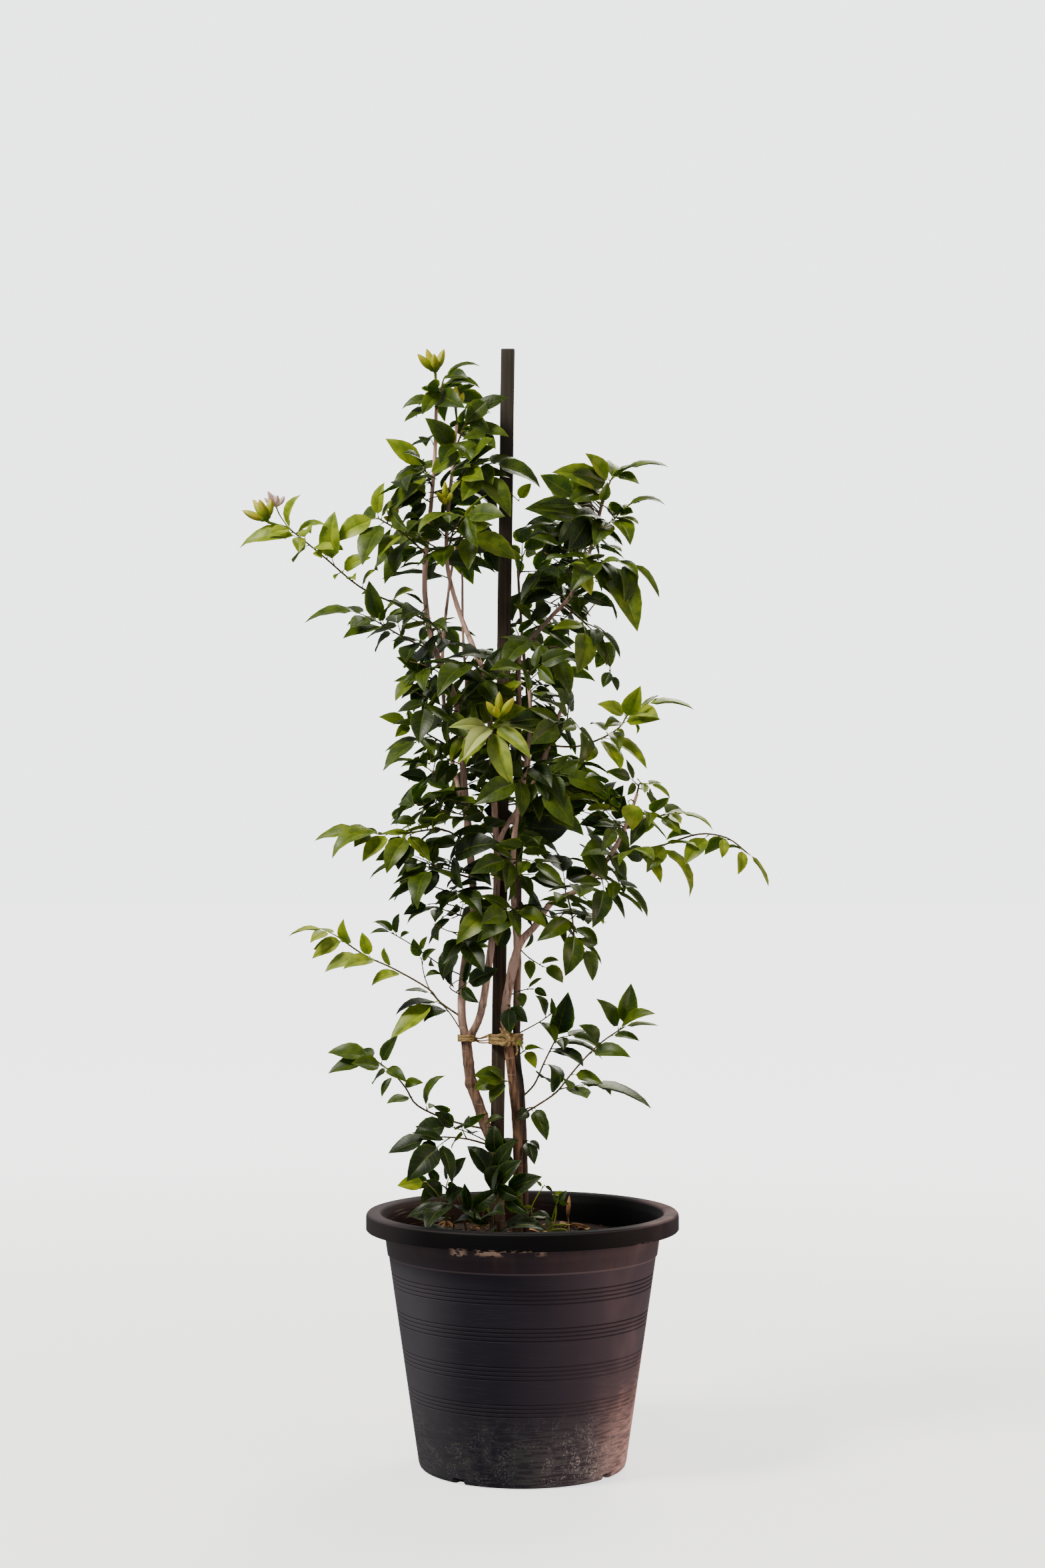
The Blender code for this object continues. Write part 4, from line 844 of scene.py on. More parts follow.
def ribbon(name, route, closed, thick, wide):
    """A flat strip along points in millimetres that stands on its edge, creased along its middle."""
    count = len(route)
    points = []
    for index, row in enumerate(route):
        before = Vector(route[index - 1] if index or closed else row)
        after = Vector(route[(index + 1) % count] if index < count - 1 or closed else row)
        way = (after - before).normalized()
        out = way.cross(Vector((0, 0, 1)))
        out = out.normalized() if out.length > 0.2 else Vector((0, -1, 0))
        up = out.cross(way).normalized()
        points += [(Vector(row) + out * (a * thick) + up * (b * wide)) * MM for a, b in RIBBON_SECTION]
    made = new_piece(name, points, closed_strip(count, len(RIBBON_SECTION), closed))
    edit_all(made, bpy.ops.mesh.normals_make_consistent, inside=False)
    return made


def ring_route(places, height, draw):
    """A closed smooth way round the places, wavering a little up and down."""
    rows = [Vector((x, y, height - y * TIE_SAG + draw.uniform(-0.5, 0.5))) for x, y in places]
    return curve_through([rows[-1], *rows, *rows[:2]], 4)


draw = random.Random(23)
ribbons = []
for height in TIE_HEIGHTS:
    out = 1 + draw.uniform(-0.01, 0.03)
    spots = [[(v - centre) * out + centre for v, centre in zip(spot, TIE_CENTRE)] for spot in TIE_PLACES]
    ribbons.append(ribbon("turn", ring_route(spots, height, draw), True, *TURN_RIBBON))
for height in LOOP_HEIGHTS:
    turns = [2 * math.pi * step / 9 for step in range(9)]
    reach = 1 + draw.uniform(-0.02, 0.06)
    spots = [(LOOP_CENTRE[0] + LOOP_REACH[0] * reach * math.cos(t),
              LOOP_CENTRE[1] + LOOP_REACH[1] * reach * math.sin(t)) for t in turns]
    ribbons.append(ribbon("loop", ring_route(spots, height, draw), True, *LOOP_RIBBON))
strings = [(
    (-31.5, -9.5, start), (-36, -9.8, start - 0.4), (-43, -9.8, (start + stop) / 2 - 1.6),
    (-49.8, -9.4, stop), (-53, -13.6, stop),
) for start, stop in STRING_HEIGHTS]
for name, strands, steps, size in (
    ("string", strings, 4, STRING_RIBBON), ("knot", KNOT, 5, KNOT_RIBBON),
    ("loose end", LOOSE_ENDS, 4, END_RIBBON),
):
    ribbons += [ribbon(name, smooth_route(strand, steps), False, *size) for strand in strands]
fibre = Paint("dry raffia", {"Roughness": 0.7, "Specular IOR Level": 0.35})
threads = fibre.noise(700, stretch=(0.5, 0.5, 2.6), detail=4)
stains = fibre.noise(120, detail=2)
tint = fibre.coats(
    fibre.mix(fibre.band(threads, 0.38, 0.62), (0.2, 0.105, 0.035), (0.56, 0.38, 0.15)),
    (fibre.band(stains, 0.5, 0.65) * 0.5, (0.13, 0.062, 0.022)),
)
raffia_paint = fibre.show(base_color=tint, normal=fibre.bump(threads, 0.0005))
tie = finish_piece(join(ribbons), "raffia_tie", raffia_paint, angle=45)
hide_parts("twine_tie")


# The leaflet: a glossy pointed blade with a sunk pale midrib, faint side veins and a slightly
# waved edge, drawn in to a short stalk. A few variants are shaped once and copied on every leaf.
LEAFLET_WIDTH = 0.58  # of its length
LONE_LEAFLET_WIDTH = 0.46
STAR_LEAFLET_WIDTH = 0.33
LEAFLET_SPREAD = math.radians(62)
LEAFLET_FOLD = 0.07
BLADE_STATIONS = (0.0, 0.055, 0.17, 0.33, 0.5, 0.67, 0.84, 1.0)
BLADE_ACROSS = 4
BLADE_THICKNESS = 0.014  # of its length
STALK_SHARE = 0.045
# Each variant: edge waves, their size, curl of the tip, how one half outgrows the other, and how
# far the tip bends sideways.
LEAFLET_VARIANTS = (
    (2.0, 0.02, -0.14, 0.03, 0.05), (2.6, 0.026, -0.04, -0.05, -0.06), (1.4, 0.014, -0.26, 0.0, 0.0),
    (2.2, 0.024, -0.18, 0.05, 0.1), (1.8, 0.03, -0.1, -0.02, -0.12), (2.4, 0.018, -0.32, 0.02, 0.04),
)


def half_width(share):
    """The blade's half width, where 0.5 is the widest, at a share of its length."""
    if share <= STALK_SHARE + 0.011:
        return 0.02
    t = (share - STALK_SHARE) / (1 - STALK_SHARE)
    return 0.5 * t ** 0.66 * (1 - t) ** 1.1 / 0.3164


def make_leaflet(waves, wave_size, curl, lopsided, sickle):
    """One leaflet of unit length along +X, as a closed thin blade with a UV map: U along it, V
    across it."""
    bpy.ops.object.select_all(action="DESELECT")
    last = len(BLADE_STATIONS) - 1
    bpy.ops.mesh.primitive_grid_add(x_subdivisions=last, y_subdivisions=BLADE_ACROSS, size=1)
    blade = bpy.context.object
    rim = blade.vertex_groups.new(name="inside the rim")
    for vertex in blade.data.vertices:
        along = BLADE_STATIONS[round((vertex.co.x + 0.5) * last)]
        across = vertex.co.y * 2
        width = half_width(along) * (1 + lopsided * across)
        rise = -LEAFLET_FOLD * (1 - abs(across)) * min(1.0, width / 0.35)
        rise += 0.035 * width * math.sin(math.pi * abs(across))
        rise += wave_size * math.sin(waves * math.pi * along + across) * across ** 2 * width * 2
        rise += curl * along ** 3
        if abs(across) < 0.99 and 0 < along < 1:
            rim.add([vertex.index], 1.0, "REPLACE")
        vertex.co = (along, across * width + sickle * along ** 2, rise)
    thick = blade.modifiers.new("thickness", "SOLIDIFY")
    thick.thickness = BLADE_THICKNESS
    thick.offset = 0
    thick.use_rim = False
    thick.vertex_group = rim.name
    apply_all(blade)
    edit_all(blade, bpy.ops.mesh.remove_doubles, threshold=0.0005)
    return blade


def mesh_parts(piece):
    """A modelled piece as numbers, to copy from: points, faces, the UV of each face corner, and
    1 for each face that looks down."""
    mesh = piece.data
    points = np.empty(len(mesh.vertices) * 3)
    mesh.vertices.foreach_get("co", points)
    spots = np.empty(len(mesh.loops) * 2)
    mesh.uv_layers[0].data.foreach_get("uv", spots)
    faces = [tuple(face.vertices) for face in mesh.polygons]
    under = [1.0 if face.normal.z < 0 else 0.0 for face in mesh.polygons]
    return points.reshape(-1, 3), faces, spots.reshape(-1, 2), under


LEAFLETS = []
for variant in LEAFLET_VARIANTS:
    pattern = make_leaflet(*variant)
    LEAFLETS.append(mesh_parts(pattern))
    bpy.data.objects.remove(pattern)


class Foliage:
    """Blades and stalks that become one piece, with what the leaf paint reads from each face:
    tone, from 0 for an old dark leaf to 1 for a young bright one, stalk and under."""

    def __init__(self):
        self.points, self.faces, self.spots = [], [], []
        self.marks = {"tone": [], "stalk": [], "under": []}
        self.count = 0

    def add(self, points, faces, spots, under, tone, stalk=0.0):
        self.points.append(points)
        self.faces += [tuple(corner + self.count for corner in face) for face in faces]
        self.spots.append(spots)
        self.marks["under"] += under
        self.marks["tone"] += [tone] * len(faces)
        self.marks["stalk"] += [stalk] * len(faces)
        self.count += len(points)

    def add_rod(self, route, sides, tone, stalk):
        """Adds a thin stalk along (x, y, z, radius) points in millimetres."""
        points, faces = rod_parts(route, sides)
        spots = np.zeros((sum(len(face) for face in faces), 2))
        self.add(np.array([p * MM for p in points]), faces, spots, [0.0] * len(faces), tone, stalk)

    def piece(self, name):
        made = new_piece(name, np.concatenate(self.points).tolist(), self.faces)
        layer = made.data.uv_layers.new(name="UVMap")
        layer.data.foreach_set("uv", np.concatenate(self.spots).ravel())
        for mark, values in self.marks.items():
            made.data.attributes.new(mark, "FLOAT", "FACE").data.foreach_set("value", values)
        return made


def leaf_paint():
    """Glossy leaf skin: dark green when old, yellow-green when young, palest past tone 1 partly as a painted
    sheen, and paler and duller below.
    """
    skin = Paint("jasmine leaf", {
        "Specular IOR Level": 0.25, "Subsurface Weight": 0.16, "Subsurface Scale": 0.5,
        "Subsurface Radius": (0.004, 0.006, 0.0012),
    })
    tone, stalk, under = (skin.attribute(mark) for mark in ("tone", "stalk", "under"))
    u, v, _ = skin.split(skin.place("UV"))
    side = abs(v - 0.5) * 2
    mottle = skin.noise(95, detail=4)
    fine = skin.noise(420, detail=2)
    patchy = skin.band(mottle, 0.35, 0.65)
    tint = skin.coats(
        skin.mix(patchy, (0.005, 0.0125, 0.0009), (0.0125, 0.025, 0.0016)),
        (skin.band(tone, 0.12, 0.5), skin.mix(patchy, (0.029, 0.053, 0.0022), (0.064, 0.098, 0.0036))),
        (skin.band(tone, 0.5, 0.92), skin.mix(patchy, (0.14, 0.205, 0.008), (0.29, 0.35, 0.016))),
        # Past tone 1 a leaf is paler still: partly its young colour, partly a painted sheen of glare.
        (skin.band(tone, 1.05, 1.45), (0.52, 0.58, 0.2)),
    )
    slant = (u - side * 0.16) * 11
    ripple = skin.node("ShaderNodeMath", {"operation": "PINGPONG"}, {0: slant, 1: 0.5})
    veins = 1 - skin.band(ripple, 0.0, 0.13)
    rib = 1 - skin.band(side, 0.035, 0.1)
    paler = skin.mix(0.22, tint, (0.3, 0.38, 0.05))
    edge = skin.band(side, 0.88, 1.0)
    tint = skin.coats(tint, (veins * 0.22, paler), (rib * 0.7, paler), (edge * 0.3, paler))
    tint = skin.mix(under, tint, skin.mix(0.35, tint, (0.07, 0.12, 0.018)))
    twig = skin.mix(skin.band(fine, 0.4, 0.62), (0.06, 0.045, 0.017), (0.19, 0.125, 0.05))
    fresh = skin.mix(skin.band(tone, 0.3, 0.8), (0.045, 0.08, 0.01), (0.26, 0.32, 0.03))
    stem_tint = skin.mix(skin.band(stalk, 0.55, 0.95), fresh, twig)
    tint = skin.mix(skin.band(stalk, 0.05, 0.4), tint, stem_tint)
    relief = veins * -0.35 + rib * -0.8 + mottle * 0.5
    gloss = 0.34 + under * 0.25 + fine * 0.12
    return skin.show(base_color=tint, roughness=gloss, normal=skin.bump(relief, 0.00025, 0.6))


LEAF_PAINT = leaf_paint()


def finish_leaves(foliage, name):
    """Makes the blades and stalks one finished piece."""
    return finish_piece(foliage.piece(name), name, LEAF_PAINT, angle=35)


# The leafy shoots: thin green-brown twigs that fork off the branches or stand in the soil, with
# alternate leaves of one, three or five leaflets. The rule that set them in the solids keeps
# each leaf clear of all the others.
TWIG_RADIUS = (1.4, 1.0)
# Each row is the branch and height that a twig leaves from, its other points, and its leaves as
# (share of the twig, tip, leaflets), where a fourth number is how far a face leans to the front.
SHOOTS = {
    "shoot_crown": ("left_high", 1078, ((-83, -9, 1100), (-80, -10, 1110)), (
        (1.0, (-49, -22, 1134), 1, 0.4), (0.8, (-44, -26, 1110), 1, 0.3), (0.7, (-101, -36, 1071), 1, 2.0),
        (0.3, (-126, -14, 1087), 1, 1.0), (0.15, (-121, -24, 1066), 1, 0.6), (0.6, (-80, 52, 1104), 3),
    )),
    "shoot_crown_right": ("left_inner", 1032, ((-60, -20, 1058), (-53, -24, 1068)), (
        (1.0, (-16, -34, 1092), 1, 0.8), (0.95, (-34, -50, 1050), 1, 1.5), (0.7, (-16, -52, 1056), 1, 0.6),
        (0.1, (-93, -46, 1066), 1, 2.5), (0.3, (-86, -54, 1020), 1, 2.0),
    )),
    "shoot_crown_left": ("left_high", 1000, ((-99, -14, 1016),), (
        (1.0, (-139, -28, 1047), 1, 1.5), (0.9, (-134, -38, 1006), 1, 0.8), (0.7, (-58, -48, 1032), 1, 1.5),
        (0.3, (-130, -44, 984), 1, 1.0), (0.6, (-120, 52, 1036), 3),
    )),
    "shoot_over_stake": ("left_inner", 990, ((-52, -30, 1018),), (
        (1.0, (24, -42, 1007), 3, 0.6), (0.9, (-2, -70, 976), 3), (0.6, (-44, -80, 1002), 3),
    )),
    "shoot_upper_front": ("left_inner", 930, ((-70, -40, 950), (-60, -60, 962)), (
        (1.0, (-108, -92, 954), 3), (0.9, (-20, -108, 962), 3), (0.6, (-4, -62, 924), 3),
    )),
    "shoot_back_crown": ("left_back", 935, ((-64, 88, 968),), (
        (1.0, (-16, 110, 994), 3), (0.9, (-112, 116, 984), 3), (0.5, (-58, 146, 926), 3),
    )),
    "shoot_back_left": ("left_back", 850, ((-98, 84, 872),), (
        (1.0, (-148, 114, 886), 3), (0.7, (-70, 146, 850), 3),
    )),
    "shoot_left_shoulder": ("left_high", 932, ((-120, -16, 950), (-146, -24, 965)), (
        (1.0, (-195, -36, 946), 1, 2.5), (1.0, (-145, -42, 1000), 1, 2.0), (0.9, (-162, -58, 916), 1, 0.8),
        (0.5, (-150, -60, 936), 1, 0.8),
    )),
    "shoot_left_arch": ("left_high", 862, (
        (-130, -10, 880), (-165, -20, 896), (-200, -24, 925), (-222, -26, 943), (-236, -26, 954),
    ), (
        (0.9, (-291, -34, 953), 1, 0.5), (0.98, (-240, -56, 984), 1, 1.0), (0.95, (-206, -46, 966), 1, 1.0),
        (0.66, (-196, -44, 973), 1, 2.0), (0.6, (-158, -44, 928), 1, 2.0), (0.82, (-190, -60, 934), 1, 1.0),
        (0.85, (-240, 10, 926), 1, 0.6), (0.52, (-172, -48, 908), 1, 1.0),
    )),
    "shoot_left_low": ("left_high", 832, ((-118, -10, 844), (-146, -18, 860)), (
        (1.0, (-225, -26, 873), 3, 0.5), (0.95, (-156, -40, 900), 1, 1.5), (0.85, (-180, -50, 848), 1, 0.8),
        (0.6, (-136, 54, 880), 3),
    )),
    "shoot_left_waist": ("left_high", 796, ((-102, -14, 808),), (
        (1.0, (-126, -38, 824), 1, 1.5), (0.9, (-130, -40, 782), 3, 1.2), (0.7, (-118, 56, 796), 3),
    )),
    "shoot_right_crown": ("right", 988, ((90, -12, 1006),), (
        (1.0, (150, -12, 1030), 3, 0.4), (0.9, (66, -38, 1030), 1, 2.0), (0.3, (36, -50, 1020), 1, 2.0),
        (0.1, (46, -56, 986), 1, 1.0),
    )),
    "shoot_right_upper": ("right", 952, ((94, -16, 966),), (
        (1.0, (144, -26, 994), 3), (0.9, (117, -44, 966), 1, 0.8), (0.8, (112, -60, 946), 1, 1.0),
        (0.5, (6, -64, 974), 3, 1.2),
    )),
    "shoot_right_wing": ("right", 912, ((82, -20, 922), (108, -30, 921)), (
        (1.0, (145, -38, 888), 1, 0.5), (0.5, (124, -66, 856), 1, 2.0), (0.75, (118, -50, 910), 1, 0.8),
        (0.5, (52, -84, 900), 3),
    )),
    "shoot_right_wing_back": ("right", 903, ((78, 30, 912),), (
        (1.0, (126, 56, 905), 3), (0.7, (56, 90, 940), 3),
    )),
    "shoot_right_mid": ("right", 880, ((54, -24, 868), (64, -34, 858)), (
        (1.0, (104, -44, 826), 3), (0.8, (64, -84, 808), 3),
    )),
    "shoot_right_inner": ("right", 846, ((20, -30, 834),), (
        (1.0, (54, -56, 788), 3), (0.7, (-22, -84, 822), 3),
    )),
    "shoot_back_top": ("right_back", 915, ((0, 98, 940),), (
        (1.0, (36, 120, 994), 3), (0.9, (-40, 140, 946), 3),
    )),
    "shoot_back_mid": ("right_back", 800, ((22, 104, 812),), (
        (1.0, (80, 124, 820), 3), (0.8, (-6, 160, 836), 3),
    )),
    "shoot_back_low": ("right_back", 690, ((24, 76, 700),), (
        (1.0, (90, 96, 706), 3), (0.7, (10, 138, 716), 3),
    )),
    "shoot_middle_star": ("left_inner", 745, ((-33, -44, 750), (-30, -66, 752)), (
        (0.92, (12, -98, 724), 1), (0.88, (-66, -84, 716), 1), (0.9, (-15, -100, 692), 1),
        (0.84, (-50, -112, 712), 1), (0.8, (-72, -78, 757), 1), (0.76, (20, -74, 750), 1),
    )),
    "shoot_middle_left": ("left_high", 728, ((-88, -14, 742), (-106, -20, 752)), (
        (1.0, (-144, -34, 768), 3), (0.8, (-88, -56, 792), 3), (0.7, (-140, -60, 714), 3),
    )),
    "shoot_middle_back": ("left_back", 700, ((-96, 56, 712),), (
        (1.0, (-148, 80, 730), 3), (0.8, (-84, 124, 702), 3),
    )),
    "shoot_middle_right": ("cross", 750, ((48, -42, 762),), (
        (1.0, (66, -68, 712), 3), (0.8, (10, -92, 738), 3),
    )),
    "shoot_right_bright": ("cross", 735, (
        (56, -26, 734), (82, -28, 743), (98, -30, 753), (105, -30, 764),
    ), (
        (1.0, (177, -32, 782), 3, 0.3), (1.0, (79, -52, 780), 1, 2.0), (0.97, (118, -62, 790), 1, 2.0),
        (0.9, (136, -50, 772), 1, 1.0), (0.62, (133, -44, 718), 1, 0.5), (0.8, (112, -40, 756), 1, 0.8),
    )),
    "shoot_right_tuft": ("centre", 684, ((118, -34, 696),), (
        (1.0, (152, -44, 686), 3), (0.8, (88, -62, 712), 3), (0.6, (142, 4, 680), 3),
    )),
    "shoot_right_reach": ("centre", 650, ((122, -34, 660), (142, -38, 664)), (
        (1.0, (197, -42, 661), 3, 0.1), (0.6, (128, -80, 664), 3), (0.5, (126, 24, 650), 3),
    )),
    "shoot_right_long": ("centre", 622, (
        (112, -28, 628), (142, -34, 634), (178, -38, 645), (206, -42, 641), (226, -44, 626),
    ), (
        (1.0, (253, -46, 594), 1, 0.3), (0.95, (220, -60, 606), 1, 1.0), (0.8, (202, -56, 622), 1, 1.5),
        (0.33, (186, -46, 592), 1, 0.5), (0.2, (142, -60, 602), 1, 1.0), (0.38, (175, -60, 642), 1, 0.2),
    )),
    "shoot_right_low": ("centre", 600, ((84, -40, 600),), (
        (1.0, (132, -54, 566), 3), (0.7, (76, -90, 558), 3), (0.5, (76, 34, 616), 3),
    )),
    "shoot_middle_front": ("centre_high", 700, ((12, -64, 704),), (
        (1.0, (84, -76, 692), 5), (0.8, (-44, -108, 680), 3), (0.6, (34, -116, 660), 3),
    )),
    "shoot_front_low": ("centre_high", 615, ((-2, -54, 620),), (
        (1.0, (42, -84, 596), 3), (0.8, (-50, -92, 612), 3), (0.6, (16, -104, 650), 3),
    )),
    "shoot_front_high": ("centre_high", 800, ((8, -64, 806),), (
        (1.0, (48, -92, 826), 3), (0.7, (-30, -104, 812), 3),
    )),
    "shoot_left_reach": ("left_high", 636, ((-82, -12, 650), (-112, -18, 647), (-146, -22, 645)), (
        (1.0, (-214, -26, 645), 3, 0.3), (0.95, (-206, -50, 632), 1, 0.4), (0.9, (-160, -52, 620), 1, 2.0),
        (0.6, (-140, -66, 612), 3, 1.5),
    )),
    "shoot_left_mass": ("left_high", 600, ((-78, -20, 608), (-96, -36, 612)), (
        (1.0, (-158, -48, 614), 3), (0.8, (-112, -92, 588), 3), (0.5, (-142, 14, 584), 3),
    )),
    "shoot_left_round": ("left_high", 558, ((-76, 14, 566),), (
        (1.0, (-122, -6, 564), 3), (0.8, (-96, 64, 540), 3), (0.5, (-48, 60, 590), 3),
    )),
    "shoot_centre_big": ("left_inner", 575, ((-14, -38, 572), (-2, -46, 566)), (
        (1.0, (-47, -78, 545), 1, 2.0), (0.9, (24, -74, 560), 1, 1.5), (0.5, (-70, -68, 544), 3),
    )),
    "shoot_left_faint": ("left_high", 458, (
        (-84, -12, 474), (-96, -16, 488), (-130, -20, 508), (-160, -22, 522), (-186, -24, 540),
    ), (
        (1.0, (-240, -28, 550), 3, 0.3), (0.97, (-212, -46, 522), 1, 1.5), (0.8, (-200, -44, 508), 1, 0.8),
        (0.7, (-182, -50, 516), 1, 1.0), (0.2, (-136, -38, 438), 1, 0.6),
    )),
    "shoot_low_left": ("left_trunk", 345, (
        (-72, -22, 354), (-106, -28, 370), (-118, -30, 388), (-130, -31, 402), (-152, -32, 419),
    ), (
        (1.0, (-197, -38, 434), 1, 1.0), (1.0, (-198, -52, 411), 1, 0.6),
        (0.92, (-130, -48, 444), 1, 1.5), (0.88, (-120, -60, 404), 1, 0.6), (0.8, (-144, -40, 380), 1, 0.5),
        (0.45, (-90, -40, 408), 1, 0.4),
    )),
    "shoot_low_left_2": ("left_trunk", 328, ((-56, -42, 338), (-78, -52, 341)), (
        (1.0, (-136, -60, 326), 3), (0.9, (-124, -88, 298), 3), (0.6, (-60, -92, 366), 3),
    )),
    "shoot_low_right": ("right", 358, (
        (14, -10, 368), (34, -14, 382), (47, -16, 398), (64, -18, 418), (82, -20, 435), (101, -22, 448),
    ), (
        (1.0, (113, -36, 493), 1, 2.0), (0.97, (84, -46, 482), 1, 1.5), (1.0, (139, -26, 456), 1, 0.1),
        (0.98, (124, -56, 474), 1, 1.0), (0.36, (137, -26, 380), 3, 0.0), (0.1, (26, -32, 338), 1, 1.5),
    )),
    "shoot_low_right_2": ("right", 375, ((12, 10, 388), (22, 12, 410), (34, 14, 434)), (
        (1.0, (85, -6, 432), 3, 0.8), (1.0, (46, -16, 484), 1, 2.0), (0.95, (76, -26, 452), 1, 0.6),
        (0.85, (62, -30, 420), 1, 1.0),
    )),
    "shoot_droop_right": ("centre", 583, ((50, -38, 562), (52, -44, 542)), (
        (1.0, (78, -50, 498), 3, 0.8), (0.6, (18, -72, 542), 1, 2.0), (0.9, (48, -76, 506), 1, 1.0),
    )),
    "shoot_foot_left": ("soil", (-50, -34), ((-62, -42, 270), (-80, -50, 292)), (
        (1.0, (-122, -64, 300), 3), (0.95, (-86, -64, 336), 3), (0.7, (-98, -102, 268), 3),
        (0.6, (-34, -90, 286), 3),
    )),
    "shoot_foot_front": ("soil", (-26, -44), ((-28, -48, 284),), (
        (1.0, (-6, -84, 322), 3), (0.9, (-54, -84, 342), 3), (0.5, (20, -86, 264), 3),
    )),
}
CLEARANCE = 0.3  # kept free round a twig
LEAF_SPACING = 2.4  # how thick a leaf counts as while its place is looked for
SOLID_THICKNESS = 0.75
RACHIS_HALF_WIDTH = 0.75  # of a compound leaf's own stalk
MOST_TRIES = 60
PLANT_MIDDLE = -25
BACK_LEAVES = 40  # a leaf whose foot is further back than this doesn't lean to the front
OUTWARDS = 0.55  # how far a leaf's face looks away from the plant's middle
USUAL_LEAN = 0.6  # how far it leans to the front
USUAL_ROLL = 0.5
AIMED_ROLL = 0.15
SLIMMER = 0.88  # a leaflet's finished width, of the solid's
UP = Vector((0, 0, 1))
FRONT = Vector((0, -1, 0))


def point_at(route, height):
    """The centre of a branch where it passes this height."""
    for low, high in zip(route, route[1:]):
        if low[2] <= height <= high[2]:
            share = (height - low[2]) / (high[2] - low[2])
            return tuple(a + (b - a) * share for a, b in zip(low, high))[:3]
    return route[-1][:3]


def point_along(route, share):
    """The point at this share of a route's length, and the way that the route runs there."""
    centres = [Vector(p[:3]) for p in route]
    lengths = [(b - a).length for a, b in zip(centres, centres[1:])]
    left = share * sum(lengths)
    for a, b, length in zip(centres, centres[1:], lengths):
        if left <= length:
            return a + (b - a) * (left / length), (b - a).normalized()
        left -= length
    return centres[-1], (centres[-1] - centres[-2]).normalized()


def twig_route(branch, start, others, thick, thin):
    """The points of a twig, tapering from its foot to its tip."""
    first = (*start, SOIL_HEIGHT - HOLE_DEPTH) if branch == "soil" else point_at(BRANCHES[branch], start)
    places = [first, *others]
    last = len(places) - 1
    return [(*p, thick + (thin - thick) * i / last) for i, p in enumerate(places)]


def shoot_route(name):
    """The points of a shoot's twig."""
    return twig_route(*SHOOTS[name][:3], *TWIG_RADIUS)


def thicken(points, triangles, thickness):
    """A closed blade from an open sheet of triangles."""
    normals = [Vector((0, 0, 0)) for _ in points]
    edges = set()
    for a, b, c in triangles:
        normal = (points[b] - points[a]).cross(points[c] - points[a])
        for corner in (a, b, c):
            normals[corner] += normal
        edges |= {(a, b), (b, c), (c, a)}
    offsets = [n.normalized() * (thickness / 2) for n in normals]
    count = len(points)
    solid = [p + offset for p, offset in zip(points, offsets)]
    solid += [p - offset for p, offset in zip(points, offsets)]
    faces = list(triangles) + [(c + count, b + count, a + count) for a, b, c in triangles]
    for a, b in sorted(edges):
        if (b, a) not in edges:
            faces += [(a, a + count, b + count), (a, b + count, b)]
    return solid, faces


def leaf_layout(length, leaflets, seed, lone_width):
    """One compound leaf laid flat along +X: the X of each leaflet's foot, its hand, its way, its
    length, droop and width. The leaflet at the end comes last, with hand 0."""
    draw = random.Random(seed)
    bare, end = {1: (0.0, 0.1), 3: (0.15, 0.33), 5: (0.08, 0.43)}[leaflets]
    sides = leaflets - 1
    wide = lone_width if leaflets == 1 else LEAFLET_WIDTH
    last = 1 - end
    hand = draw.choice((1, -1))
    layout = []
    for i in range(sides):
        foot = (bare + (end - 0.08 - bare) * i / (sides - 1)) * length
        size = last * (0.68 + 0.12 * i / (sides - 1)) * length
        turn = LEAFLET_SPREAD + draw.uniform(-0.07, 0.07)
        way = Vector((math.cos(turn), math.sin(turn) * hand))
        droop = draw.uniform(0.04, 0.16) * size
        layout.append((foot, hand, way, size, droop, wide * size * draw.uniform(0.92, 1.08)))
        hand = -hand
    size = last * length
    droop = draw.uniform(0.04, 0.16) * size
    width = wide * size * draw.uniform(0.92, 1.08)
    return layout + [(end * length, 0, Vector((1, 0)), size, droop, width)]


def bent(x, y, rise, bend, length):
    """A point of the flat leaf once its stalk curves down through the angle bend."""
    angle, reach = bend * x / length, length / bend
    return Vector((
        reach * math.sin(angle) + rise * math.sin(angle), y,
        -reach * (1 - math.cos(angle)) + rise * math.cos(angle),
    ))


